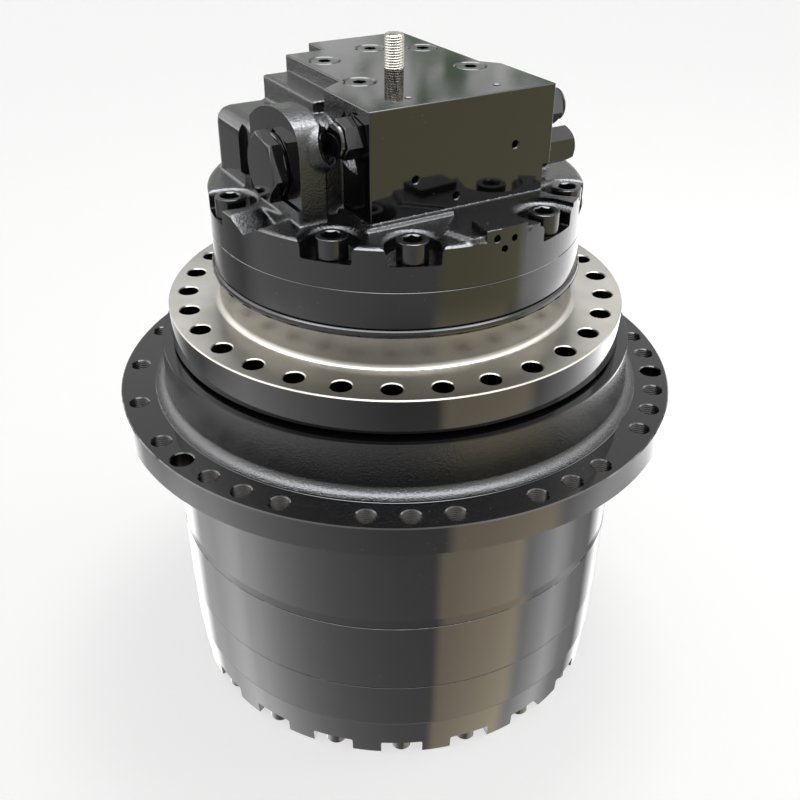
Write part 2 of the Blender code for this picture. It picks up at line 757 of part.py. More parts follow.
def gear(name, teeth, module, phase, bore, low, high, centre=(0, 0)):
    """An outer gear with a round bore."""
    outline = gear_outline(teeth, module, phase)
    hole = ring_places(bore, PIN_SEGMENTS)
    obj = prism(name, [outline, hole], low, high, material=GEAR_STEEL)
    obj.location = (*centre, 0)
    return obj


def stage_one():
    """Input shaft with its sun, three planets on pins and the carrier that turns."""
    for i in range(PLANETS_1):
        angle = i * math.tau / PLANETS_1
        phase = planet_phase(SUN_1_TEETH, PLANET_1_TEETH, angle)
        centre = polar(CENTRE_1, angle)
        gear(
            f"planet_gear_stage_1_{i + 1}",
            PLANET_1_TEETH,
            MODULE_1,
            phase,
            around(PIN_1_RADIUS + SEAT, PIN_SEGMENTS),
            PLANET_1_FOOT,
            PLANET_1_TOP,
            centre,
        )
        pin = rods(
            f"planet_pin_stage_1_{i + 1}",
            [(0, 0)],
            PIN_1_RADIUS,
            PIN_1_FOOT,
            CARRIER_1_TOP - SEAT,
            PIN_SEGMENTS,
            PARTS,
        )
        pin.data.materials.append(GEAR_STEEL)
        pin.location = (*centre, 0)
    carrier = turned(
        "carrier_stage_1",
        [
            (SUN_2_SPIGOT_RADIUS + SEAT, CARRIER_1_TOP),
            (CENTRE_1 + CARRIER_1_RIM, CARRIER_1_TOP),
            (CENTRE_1 + CARRIER_1_RIM, CARRIER_1_FOOT),
            (SUN_2_SPIGOT_RADIUS + SEAT, CARRIER_1_FOOT),
        ],
        INNER_SEGMENTS,
        material=GEAR_STEEL,
    )
    pin_holes = rods(
        "carrier_1_pin_holes",
        ring_places(CENTRE_1, PLANETS_1),
        PIN_1_RADIUS + SEAT,
        CARRIER_1_FOOT - REACH,
        CARRIER_1_TOP + REACH,
        PIN_SEGMENTS,
    )
    cut(carrier, pin_holes)
    shaft = prism(
        "drive_shaft",
        [gear_outline(SUN_1_TEETH, MODULE_1, 0)],
        PLANET_1_FOOT,
        PLANET_1_TOP,
        material=GEAR_STEEL,
    )
    shaft_rod = rods(
        "shaft_rod",
        [(0, 0)],
        SHAFT_RADIUS,
        SHAFT_FOOT,
        CYLINDER_BLOCK_TOP - CYLINDER_DEPTH / 2,
        PIN_SEGMENTS,
    )
    join(shaft, shaft_rod)


def stage_two():
    """Sun that turns with the first carrier, four planets, and the carrier fixed to the spindle."""
    sun = gear(
        "sun_gear_stage_2",
        SUN_2_TEETH,
        MODULE_2,
        0,
        SUN_2_BORE_RADIUS,
        PLANET_2_FOOT,
        CARRIER_2_FOOT - SEAT,
    )
    spigot = prism(
        "sun_2_spigot",
        [
            ring_places(SUN_2_SPIGOT_RADIUS, INNER_SEGMENTS),
            ring_places(SUN_2_BORE_RADIUS, PIN_SEGMENTS),
        ],
        CARRIER_1_FOOT,
        PLANET_2_FOOT + REACH,
        CUTTERS,
    )
    join(sun, spigot)
    for i in range(PLANETS_2):
        angle = i * math.tau / PLANETS_2
        phase = planet_phase(SUN_2_TEETH, PLANET_2_TEETH, angle)
        centre = polar(CENTRE_2, angle)
        gear(
            f"planet_gear_stage_2_{i + 1}",
            PLANET_2_TEETH,
            MODULE_2,
            phase,
            around(PIN_2_RADIUS + SEAT, PIN_SEGMENTS),
            PLANET_2_FOOT,
            PLANET_2_TOP,
            centre,
        )
        pin = rods(
            f"planet_pin_stage_2_{i + 1}",
            [(0, 0)],
            PIN_2_RADIUS,
            PIN_2_FOOT,
            CARRIER_2_TOP - SEAT,
            PIN_SEGMENTS,
            PARTS,
        )
        pin.data.materials.append(GEAR_STEEL)
        pin.location = (*centre, 0)
    spigot_out = SPINDLE_BORE_RADIUS - SEAT
    spigot_in = spigot_out - CARRIER_2_SPIGOT_WALL
    spigot_top = CARRIER_2_TOP + CARRIER_2_SPIGOT_HEIGHT
    bore = SUN_2_BORE_RADIUS
    carrier = turned(
        "fixed_carrier_stage_2",
        [
            (spigot_in, spigot_top),
            (spigot_out, spigot_top),
            (spigot_out, CARRIER_2_TOP),
            (CARRIER_2_RADIUS, CARRIER_2_TOP),
            (CARRIER_2_RADIUS, CARRIER_2_FOOT),
            (bore, CARRIER_2_FOOT),
            (bore, CARRIER_2_TOP),
            (spigot_in, CARRIER_2_TOP),
        ],
        TURNED_SEGMENTS,
        material=GEAR_STEEL,
    )
    pin_holes = rods(
        "carrier_2_pin_holes",
        ring_places(CENTRE_2, PLANETS_2),
        PIN_2_RADIUS + SEAT,
        CARRIER_2_FOOT - REACH,
        CARRIER_2_TOP + REACH,
        PIN_SEGMENTS,
    )
    cut(carrier, pin_holes)


def bearings():
    """Two large roller bearings, the nut that holds them and the face seal."""
    for number, foot, top in ((1, BEARING_1_FOOT, BEARING_1_TOP), (2, BEARING_2_FOOT, BEARING_2_TOP)):
        inner = [
            (SPINDLE_RADIUS + SEAT, top),
            (RACE_INNER_OUT, top),
            (RACE_INNER_OUT, foot),
            (SPINDLE_RADIUS + SEAT, foot),
        ]
        outer = [
            (RACE_OUTER_IN, top),
            (BEARING_OUTER_RADIUS, top),
            (BEARING_OUTER_RADIUS, foot),
            (RACE_OUTER_IN, foot),
        ]
        turned(f"bearing_inner_race_{number}", inner, TURNED_SEGMENTS, material=BEARING_STEEL)
        turned(f"bearing_outer_race_{number}", outer, TURNED_SEGMENTS, material=BEARING_STEEL)
        crown = RACE_OUTER_IN * math.cos(math.pi / TURNED_SEGMENTS) - 2 * SEAT
        root = RACE_INNER_OUT + 2 * SEAT
        waist = (crown - root) / 4
        step = math.tau / ROLLERS
        outside = []
        inside = []
        for i in range(ROLLERS):
            outside.append(polar(crown, i * step))
            outside.append(polar(crown - waist, (i + 0.5) * step))
            inside.append(polar(root, i * step))
            inside.append(polar(root + waist, (i + 0.5) * step))
        gap = REACH
        rollers = f"bearing_rollers_{number}"
        prism(rollers, [outside, inside], foot + gap, top - gap, material=BEARING_STEEL)
    nut = turned(
        "bearing_nut",
        [
            (SPINDLE_RADIUS + SEAT, NUT_TOP),
            (NUT_RADIUS, NUT_TOP),
            (NUT_RADIUS, NUT_FOOT),
            (SPINDLE_RADIUS + SEAT, NUT_FOOT),
        ],
        TURNED_SEGMENTS,
        material=OXIDE_STEEL,
    )
    slots = []
    for i in range(4):
        turn = Matrix.Rotation(i * math.tau / 4, 4, "Z")
        slots.append(turn @ Matrix.Translation((NUT_RADIUS, 0, NUT_FOOT)))
    cut(nut, boxes("nut_slots", slots, (NUT_HEIGHT, NUT_HEIGHT, NUT_HEIGHT)))


def face_seal():
    """Two lapped rings, one in the case and one in the hub."""
    top = FRAME_BACK - SEAT
    middle = top - SEAL_FIXED_HEIGHT
    low = middle - SEAT - SEAL_HEIGHT
    turned(
        "fixed_seal_ring",
        [
            (SPINDLE_NECK_RADIUS + SEAT, top),
            (SEAL_FIXED_RADIUS, top),
            (SEAL_FIXED_RADIUS, middle),
            (SPINDLE_NECK_RADIUS + SEAT, middle),
        ],
        TURNED_SEGMENTS,
        material=OXIDE_STEEL,
    )
    turned(
        "rotating_seal_ring",
        [
            (SPINDLE_NECK_RADIUS + REACH, middle - SEAT),
            (DRUM_BORE_RADIUS - SEAT, middle - SEAT),
            (DRUM_BORE_RADIUS - SEAT, low),
            (SPINDLE_NECK_RADIUS + REACH, low),
        ],
        TURNED_SEGMENTS,
        material=OXIDE_STEEL,
    )


def hydraulic_motor():
    """Swash plate, cylinder block and valve plate in the case's cavity."""
    face = -TILT_FACE_DROP
    half_face = math.sqrt(TILT_RADIUS**2 - TILT_FACE_DROP**2)
    edge_angle = math.atan2(face, half_face)
    outline = arc((0, 0), TILT_RADIUS, -math.pi - edge_angle, edge_angle, 12)
    frame = Matrix(((0, 0, 1, 0), (1, 0, 0, 0), (0, 1, 0, 0), (0, 0, 0, 1)))
    plate = prism("swash_plate", [outline], -TILT_LENGTH / 2, TILT_LENGTH / 2, PARTS, BRONZE, frame)
    plate.location = (0, 0, TILT_AXIS)
    plate.rotation_euler = (TILT_AT_REST, 0, 0)
    bore = rods("swash_bore", [(0, 0)], SWASH_BORE_RADIUS, -2 * TILT_RADIUS, 0, ROUND_SEGMENTS)
    bore.location = plate.location
    bore.rotation_euler = plate.rotation_euler
    cut(plate, bore)
    block = turned(
        "cylinder_block",
        [
            (SHAFT_RADIUS + SEAT, CYLINDER_BLOCK_TOP),
            (CYLINDER_BLOCK_RADIUS, CYLINDER_BLOCK_TOP),
            (CYLINDER_BLOCK_RADIUS, CYLINDER_BLOCK_FOOT),
            (SHAFT_RADIUS + SEAT, CYLINDER_BLOCK_FOOT),
        ],
        INNER_SEGMENTS,
        material=GEAR_STEEL,
    )
    bores = rods(
        "cylinder_bores",
        ring_places(CYLINDER_CIRCLE, CYLINDERS),
        CYLINDER_RADIUS,
        CYLINDER_BLOCK_FOOT - REACH,
        CYLINDER_BLOCK_FOOT + CYLINDER_DEPTH,
        HOLE_SEGMENTS,
    )
    cut(block, bores)
    turned(
        "valve_plate",
        [
            (SHAFT_RADIUS + SEAT, VALVE_PLATE_TOP),
            (VALVE_PLATE_RADIUS, VALVE_PLATE_TOP),
            (VALVE_PLATE_RADIUS, VALVE_PLATE_FOOT),
            (SHAFT_RADIUS + SEAT, VALVE_PLATE_FOOT),
        ],
        INNER_SEGMENTS,
        material=BRONZE,
    )


def cap_screw_places():
    """Where the rear cover's screws stand."""
    return [polar(CAP_SCREW_CIRCLE, CAP_SCREW_FIRST - i * CAP_SCREW_STEP) for i in CAP_SCREW_PLACES]


def shoulder_outline(front, back, height, corner, foot):
    """Section in the block's length and height, with a round front shoulder and a falling back."""
    top = BLOCK_FOOT + height
    middle = (front + corner, top - corner)
    slope = math.atan2(BACK_DROP, back - middle[0])
    shoulder = arc(middle, corner, math.pi, math.pi / 2 - slope, 5)
    return [(back, foot), (front, foot), *shoulder, (back, top - BACK_DROP)]


def barrel_frame():
    """Frame on the slanted barrel's end face, with Z along its axis."""
    turn = Vector(BARREL_AXIS).to_track_quat("Z", "Y").to_matrix().to_4x4()
    across, along, up = BARREL_END
    return BLOCK_FRAME @ Matrix.Translation((across, along, BLOCK_FOOT + up)) @ turn


def rear_cover():
    """The cast cover with screw pockets, and the valve block with its wings on it."""
    rim = CASE_RADIUS - REAR_COVER_BEVEL
    profile = [
        (0, REAR_COVER_TOP),
        (rim, REAR_COVER_TOP),
        (CASE_RADIUS, REAR_COVER_TOP - REAR_COVER_BEVEL),
        (CASE_RADIUS, CASE_TOP + SEAT),
        (0, CASE_TOP + SEAT),
    ]
    cover = turned("rear_cover", profile, TURNED_SEGMENTS, material=PAINT)
    screws = cap_screw_places()
    pockets = rods(
        "screw_pockets",
        screws,
        POCKET_RADIUS,
        POCKET_FLOOR,
        REAR_COVER_TOP + REACH,
        ROUND_SEGMENTS,
    )
    places = []
    for x, y in screws:
        turn = Matrix.Rotation(math.atan2(y, x), 4, "Z")
        reach = CAP_SCREW_CIRCLE + POCKET_RADIUS
        places.append(turn @ Matrix.Translation((reach, 0, POCKET_FLOOR + POCKET_DEPTH)))
    width = 2 * POCKET_RADIUS * math.cos(math.pi / ROUND_SEGMENTS)
    mouths = boxes("pocket_mouths", places, (2 * POCKET_RADIUS, width - SEAT, 2 * POCKET_DEPTH))
    cut(cover, pockets)
    cut(cover, mouths)

    low = REAR_COVER_TOP - BLOCK_SINK
    plan = [
        (BLOCK_LEFT, BLOCK_FRONT),
        (BLOCK_RIGHT, BLOCK_FRONT),
        (BLOCK_RIGHT, BLOCK_WAIST_FRONT),
        (BLOCK_REAR_RIGHT, BLOCK_WAIST_BACK),
        (BLOCK_REAR_RIGHT, BLOCK_PORT_BACK),
        (BLOCK_PORT_LEFT, BLOCK_PORT_BACK),
        (BLOCK_PORT_LEFT, BLOCK_BACK),
        (BLOCK_REAR_LEFT, BLOCK_BACK),
        (BLOCK_REAR_LEFT, BLOCK_WAIST_BACK),
        (BLOCK_LEFT, BLOCK_WAIST_FRONT),
    ]
    block = prism("valve_block", [plan], low, BLOCK_TOP, CUTTERS, frame=BLOCK_FRAME)
    bevel(block, BLOCK_EDGE)
    join(cover, block)

    ledge_plan = [
        (BLOCK_REAR_LEFT - LEDGE_WIDTH, BLOCK_WAIST_BACK),
        (BLOCK_REAR_LEFT + LEDGE_WIDTH, BLOCK_WAIST_BACK),
        (BLOCK_REAR_LEFT + LEDGE_WIDTH, BLOCK_BACK - BLOCK_EDGE),
        (BLOCK_REAR_LEFT - LEDGE_WIDTH, BLOCK_BACK - BLOCK_EDGE),
    ]
    ledge = prism("side_ledge", [ledge_plan], low, BLOCK_TOP - LEDGE_DROP, CUTTERS, frame=BLOCK_FRAME)
    bevel(ledge, BLOCK_EDGE)
    join(cover, ledge)

    core_outline = shoulder_outline(CORE_FRONT, CORE_BACK, CORE_TOP, CORE_ROUND, low)
    core_left = LUG_FACE + LUG_THICKNESS / 2
    core = prism("spool_core", [core_outline], core_left, CORE_RIGHT, CUTTERS, frame=ACROSS_FRAME)
    join(cover, core)
    lug_outline = shoulder_outline(LUG_FRONT, LUG_BACK, LUG_TOP, LUG_ROUND, low)
    lug_inside = LUG_FACE + LUG_THICKNESS
    lug = prism("lug", [lug_outline], LUG_FACE, lug_inside, CUTTERS, frame=ACROSS_FRAME)
    join(cover, lug)
    barrel = rods(
        "barrel", [(0, 0)], BARREL_RADIUS, -BARREL_LENGTH, 0, ROUND_SEGMENTS, frame=barrel_frame()
    )
    join(cover, barrel)

    lobe_plan = [
        (-LOBE_REACH, LUG_BACK - BLOCK_EDGE),
        (BLOCK_REAR_LEFT, LUG_BACK - BLOCK_EDGE),
        (BLOCK_REAR_LEFT, LOBE_BACK),
        (-LOBE_REACH + LOBE_ROUND, LOBE_BACK),
    ]
    lobe = prism("rear_lobe", [lobe_plan], low, BLOCK_FOOT + LOBE_HEIGHT, CUTTERS, frame=BLOCK_FRAME)
    bevel(lobe, LOBE_ROUND, 2)
    join(cover, lobe)

    cut(cover, spool_bore())
    cut_side_bores(cover)
    barrel_bore = rods(
        "barrel_bore",
        [(0, 0)],
        BARREL_PLUG_RADIUS + SEAT,
        -BARREL_PLUG_DEPTH - SEAT,
        REACH,
        ROUND_SEGMENTS,
        frame=barrel_frame(),
    )
    cut(cover, barrel_bore)
    cut_small_bores(cover, screws)


def spool_bore():
    """Bore for the spool with a wider seat for each cap, as one stepped cutter."""
    reach = REACH
    cap_radius = SPOOL_CAP_SHANK + SEAT
    left_step = LUG_FACE + SPOOL_CAP_DEPTH + SEAT
    right_step = CORE_RIGHT - SPOOL_CAP_DEPTH - SEAT
    profile = [
        (0, CORE_RIGHT + reach),
        (cap_radius, CORE_RIGHT + reach),
        (cap_radius, right_step),
        (SPOOL_BORE_RADIUS, right_step),
        (SPOOL_BORE_RADIUS, left_step),
        (cap_radius, left_step),
        (cap_radius, LUG_FACE - reach),
        (0, LUG_FACE - reach),
    ]
    bore = turned("spool_bore", profile, ROUND_SEGMENTS, CUTTERS)
    bore.matrix_world = spool_frame()
    return bore


def spool_frame():
    """Frame on the spool's axis, with Z across the block from left to right."""
    return ACROSS_FRAME @ Matrix.Translation((SPOOL_ACROSS, SPOOL_HEIGHT, 0))


def side_places():
    """Seats on the block's side faces: each matrix has Z pointing out of the block."""
    turn = Matrix.Rotation(math.pi, 4, "X")
    left = Matrix.Translation((RELIEF_ACROSS, RELIEF_HEIGHT, BLOCK_LEFT)) @ turn
    right = Matrix.Translation((RELIEF_ACROSS, RELIEF_HEIGHT, BLOCK_RIGHT))
    pilot = Matrix.Translation((RELIEF_ACROSS, PILOT_LEVEL, BLOCK_RIGHT))
    return [ACROSS_FRAME @ place for place in (left, right, pilot)]


def cut_side_bores(cover):
    """Threaded seats of the relief valves and the pilot plug."""
    for number, place in enumerate(side_places()):
        bore = rods(
            f"side_bore_{number}",
            [(0, 0)],
            RELIEF_SHANK_RADIUS + SEAT,
            -RELIEF_SHANK_DEPTH - SEAT,
            REACH,
            ROUND_SEGMENTS,
            frame=place,
        )
        cut(cover, bore)


def cut_small_bores(cover, screws):
    """Screw holes, plug seats, the stud's thread and the main ports."""
    screw_holes = rods(
        "cover_screw_holes",
        screws,
        CAP_SCREW_RADIUS + SEAT,
        CASE_TOP - REACH,
        POCKET_FLOOR + REACH,
        SCREW_SEGMENTS,
    )
    cut(cover, screw_holes)
    seats = rods(
        "plug_seats",
        PORT_PLUGS,
        PORT_PLUG_RADIUS + SEAT,
        BLOCK_TOP - PORT_PLUG_DEPTH - SEAT,
        BLOCK_TOP + REACH,
        ROUND_SEGMENTS,
        frame=BLOCK_FRAME,
    )
    cut(cover, seats)
    stud_seat = rods(
        "stud_seat",
        [(STUD_ACROSS, STUD_ALONG)],
        STUD_RADIUS + SEAT,
        BLOCK_TOP - STUD_DEPTH - SEAT,
        BLOCK_TOP + REACH,
        ROUND_SEGMENTS,
        frame=BLOCK_FRAME,
    )
    cut(cover, stud_seat)
    port_places = [(-across, BLOCK_FOOT + MAIN_PORT_UP) for across in MAIN_PORTS]
    ports = rods(
        "main_ports",
        port_places,
        MAIN_PORT_RADIUS,
        BLOCK_PORT_BACK - MAIN_PORT_DEPTH,
        BLOCK_PORT_BACK + REACH,
        ROUND_SEGMENTS,
        frame=ALONG_FRAME,
    )
    cut(cover, ports)


def cut_socket(obj, name, radius, top, depth):
    """Hexagon socket in the top of a turned piece, in its own frame."""
    corners = hexagon(2 * radius * HEX_SOCKET_SHARE)
    socket = prism(name, [corners], top - depth, top + REACH, CUTTERS)
    cut(obj, socket)
    return socket


def shared_copies(names_and_places, template):
    """Objects that share one mesh, each at its own matrix."""
    mesh = mesh_of(template, template.name)
    for name, place in names_and_places:
        obj = bpy.data.objects.new(name, mesh)
        PARTS.objects.link(obj)
        obj.matrix_world = place


def cap_screws():
    """Socket head screws that hold the rear cover to the case."""
    profile = [
        (0, CAP_SCREW_HEAD_HEIGHT),
        (CAP_SCREW_HEAD_RADIUS, CAP_SCREW_HEAD_HEIGHT),
        (CAP_SCREW_HEAD_RADIUS, SEAT),
        (CAP_SCREW_RADIUS, SEAT),
        (CAP_SCREW_RADIUS, -CAP_SCREW_LENGTH),
        (0, -CAP_SCREW_LENGTH),
    ]
    template = turned("cap_screw", profile, SCREW_SEGMENTS, material=OXIDE_STEEL)
    cut_socket(
        template,
        "cap_screw_socket",
        CAP_SCREW_HEAD_RADIUS,
        CAP_SCREW_HEAD_HEIGHT,
        CAP_SCREW_SOCKET_DEPTH,
    )
    places = [Matrix.Translation((x, y, POCKET_FLOOR)) for x, y in cap_screw_places()]
    names = [f"rear_cover_screw_{i + 1}" for i in range(len(places))]
    shared_copies(zip(names, places), template)


def port_plugs():
    """Flush plugs in the block's top face."""
    profile = [
        (0, BLOCK_TOP),
        (PORT_PLUG_RADIUS, BLOCK_TOP),
        (PORT_PLUG_RADIUS, BLOCK_TOP - PORT_PLUG_DEPTH),
        (0, BLOCK_TOP - PORT_PLUG_DEPTH),
    ]
    template = turned("port_plug", profile, ROUND_SEGMENTS, material=OXIDE_STEEL)
    cut_socket(template, "port_plug_socket", PORT_PLUG_RADIUS, BLOCK_TOP, PLUG_SOCKET_DEPTH)
    places = [BLOCK_FRAME @ Matrix.Translation((x, y, 0)) for x, y in PORT_PLUGS]
    names = [f"port_plug_{i + 1}" for i in range(len(places))]
    shared_copies(zip(names, places), template)


def lifting_stud():
    """Threaded stud screwed into the block for lifting."""
    stud = rods(
        "lifting_stud",
        [(STUD_ACROSS, STUD_ALONG)],
        STUD_RADIUS,
        BLOCK_TOP - STUD_DEPTH,
        BLOCK_TOP + STUD_SHOWS,
        ROUND_SEGMENTS,
        PARTS,
        BLOCK_FRAME,
    )
    stud.data.materials.append(ZINC)


def spool_and_caps():
    """The counterbalance spool, free to slide, and a hexagon cap on each wing."""
    frame = spool_frame()
    left_end = LUG_FACE + SPOOL_CAP_DEPTH + 2 * SEAT + SPOOL_TRAVEL
    right_end = CORE_RIGHT - SPOOL_CAP_DEPTH - 2 * SEAT - SPOOL_TRAVEL
    land = (right_end - left_end) / SPOOL_LANDS
    profile = [(0, right_end), (SPOOL_RADIUS, right_end)]
    for start in (right_end - land, right_end - 3 * land):
        profile.append((SPOOL_RADIUS, start))
        profile.append((SPOOL_WAIST, start))
        profile.append((SPOOL_WAIST, start - land))
        profile.append((SPOOL_RADIUS, start - land))
    profile.append((SPOOL_RADIUS, left_end))
    profile.append((0, left_end))
    spool = turned("counterbalance_spool", profile, ROUND_SEGMENTS, material=BEARING_STEEL)
    spool.matrix_world = frame
    for name, face, turn in (
        ("spool_cap_left", LUG_FACE, Matrix.Rotation(math.pi, 4, "X")),
        ("spool_cap_right", CORE_RIGHT, Matrix()),
    ):
        cap = turned(
            name,
            [
                (0, SPOOL_CAP_COLLAR_HEIGHT),
                (SPOOL_CAP_COLLAR, SPOOL_CAP_COLLAR_HEIGHT),
                (SPOOL_CAP_COLLAR, SEAT),
                (SPOOL_CAP_SHANK, SEAT),
                (SPOOL_CAP_SHANK, -SPOOL_CAP_DEPTH),
                (0, -SPOOL_CAP_DEPTH),
            ],
            ROUND_SEGMENTS,
            material=OXIDE_STEEL,
        )
        place = frame @ Matrix.Translation((0, 0, face)) @ turn
        cap.matrix_world = place
        corners = hexagon(SPOOL_CAP_FLATS)
        head_top = SPOOL_CAP_HEIGHT + SEAT
        head = prism(f"{name}_hexagon", [corners], REACH, head_top, CUTTERS, frame=place)
        join(cap, head)


def side_valves():
    """Two cartridge relief valves and the pilot plug, screwed into the block's side faces."""
    left, right, pilot = side_places()
    hex_top = SEAT + RELIEF_HEX_HEIGHT
    neck_top = hex_top + RELIEF_NECK_HEIGHT
    top = neck_top + RELIEF_CAP_HEIGHT
    shank = [
        (RELIEF_SHANK_RADIUS, SEAT),
        (RELIEF_SHANK_RADIUS, -RELIEF_SHANK_DEPTH),
        (0, -RELIEF_SHANK_DEPTH),
    ]
    for name, place in (("relief_valve_left", left), ("relief_valve_right", right)):
        profile = [
            (0, top),
            (RELIEF_CAP_RADIUS, top),
            (RELIEF_CAP_RADIUS, neck_top),
            (RELIEF_NECK_RADIUS, neck_top),
            (RELIEF_NECK_RADIUS, SEAT),
            *shank,
        ]
        valve = turned(name, profile, ROUND_SEGMENTS, material=PAINT)
        valve.matrix_world = place
        head = prism(f"{name}_hexagon", [hexagon(RELIEF_FLATS)], SEAT, hex_top, CUTTERS, frame=place)
        join(valve, head)
    collar_top = SEAT + PILOT_COLLAR_HEIGHT
    profile = [(0, collar_top), (PILOT_COLLAR_RADIUS, collar_top), (PILOT_COLLAR_RADIUS, SEAT), *shank]
    plug = turned("pilot_plug", profile, ROUND_SEGMENTS, material=PAINT)
    plug.matrix_world = pilot
    head = prism("pilot_hexagon", [hexagon(PILOT_FLATS)], REACH, PILOT_HEIGHT_OUT, CUTTERS, frame=pilot)
    join(plug, head)


def barrel_plug():
    """Socket plug that closes the slanted barrel."""
    profile = [
        (0, 0),
        (BARREL_PLUG_RADIUS, 0),
        (BARREL_PLUG_RADIUS, -BARREL_PLUG_DEPTH),
        (0, -BARREL_PLUG_DEPTH),
    ]
    plug = turned("barrel_plug", profile, ROUND_SEGMENTS, material=OXIDE_STEEL)
    plug.matrix_world = barrel_frame()
    socket = cut_socket(plug, "barrel_plug_socket", BARREL_PLUG_RADIUS, 0, PLUG_SOCKET_DEPTH)
    socket.matrix_world = barrel_frame()


def group_on_axes():
    """Parent the pieces that turn together to an empty on their axis, and the rest to another."""
    groups = {
        "hub_axis": HUB_PIECES,
        "carrier_axis": CARRIER_PIECES,
        "input_axis": INPUT_PIECES,
        "frame_side": ("",),
    }
    empties = {}
    pieces = list(PARTS.objects)
    for name in groups:
        empties[name] = bpy.data.objects.new(name, None)
        PARTS.objects.link(empties[name])
    for obj in pieces:
        group = next(name for name, words in groups.items() if obj.name.startswith(words))
        obj.parent = empties[group]


def smooth_round_pieces():
    """Shade round faces smooth and keep true edges sharp."""
    for obj in PARTS.objects:
        obj.data.shade_smooth()
        obj.data.set_sharp_from_angle(angle=math.radians(35))


def main():
    clear_scene()
    motor_case()
    sprocket_hub()
    end_cover()
    oil_plugs()
    ring_gears()
    stage_one()
    stage_two()
    bearings()
    face_seal()
    hydraulic_motor()
    rear_cover()
    cap_screws()
    port_plugs()
    lifting_stud()
    spool_and_caps()
    side_valves()
    barrel_plug()
    smooth_round_pieces()
    group_on_axes()


main()
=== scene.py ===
"""Looks for the excavator final drive: finishes, fine shapes, floor, light and camera.

All sizes are in metres, in the frame of the CAD model: Z runs up the hub's axis from the ground.
"""

import logging
import math
from collections.abc import Callable, Iterable, Sequence
from dataclasses import dataclass, field
from enum import Enum

import bmesh
import bpy
from mathutils import Matrix, Vector


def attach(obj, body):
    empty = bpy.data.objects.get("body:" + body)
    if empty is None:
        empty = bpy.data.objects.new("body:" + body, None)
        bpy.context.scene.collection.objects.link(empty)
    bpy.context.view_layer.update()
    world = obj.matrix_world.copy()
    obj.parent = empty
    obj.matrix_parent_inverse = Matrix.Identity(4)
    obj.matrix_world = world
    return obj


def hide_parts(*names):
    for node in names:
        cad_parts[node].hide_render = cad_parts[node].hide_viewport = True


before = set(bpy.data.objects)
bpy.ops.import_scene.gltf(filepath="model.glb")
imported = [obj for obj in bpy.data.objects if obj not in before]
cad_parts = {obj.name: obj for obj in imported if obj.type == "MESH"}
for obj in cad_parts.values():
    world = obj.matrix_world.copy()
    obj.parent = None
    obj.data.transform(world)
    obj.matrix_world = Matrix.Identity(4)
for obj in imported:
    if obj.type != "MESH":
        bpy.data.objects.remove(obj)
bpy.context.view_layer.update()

LOG = logging.getLogger("final_drive")

Point2 = tuple[float, float]
Colour = tuple[float, float, float, float]
Socket = bpy.types.NodeSocket

FULL_TURN = math.tau
RING_SEGMENTS = 160
HEAD_SEGMENTS = 48
ROUND_SEGMENTS = 40
HOLE_SEGMENTS = 20
WELD = 1e-6

# How far a cutter stands out of the face that it cuts, and how far a piece stays off its seat
SLACK = 0.002
GAP = 0.0003

THREAD_DEPTH = 0.0011

# Stands an outline upright: its first numbers run along Y, its second ones up, its extrusion along X
STANDING = Matrix(((0, 0, 1, 0), (1, 0, 0, 0), (0, 1, 0, 0), (0, 0, 0, 1)))

# Sockets of the Mix node when it mixes colours
MIX_FIRST = 6
MIX_SECOND = 7
MIX_RESULT = 2

WHITE = "#ffffff"


class Slot(Enum):
    """The record's material slot names, passed along with the fine shapes."""

    ENAMEL = "gloss_black_paint"
    OXIDE = "black_oxide_steel"
    ZINC = "bright_zinc"


class Body(Enum):
    """Moving groups of the CAD model that the pieces ride on."""

    FRAME_SIDE = "frame_side"
    HUB = "hub"


class Ground(Enum):
    """How the iron under the enamel was made."""

    MACHINED = "machined"
    AS_CAST = "as cast"


def to_linear(hex_colour: str) -> Colour:
    """Turn an sRGB hex colour into linear values.

    Args:
        hex_colour: Six digits after a hash sign.

    Returns:
        Red, green, blue and alpha.
    """
    values = []
    for start in (1, 3, 5):
        share = int(hex_colour[start : start + 2], 16) / 255
        values.append(share / 12.92 if share <= 0.04045 else ((share + 0.055) / 1.055) ** 2.4)
    return values[0], values[1], values[2], 1.0


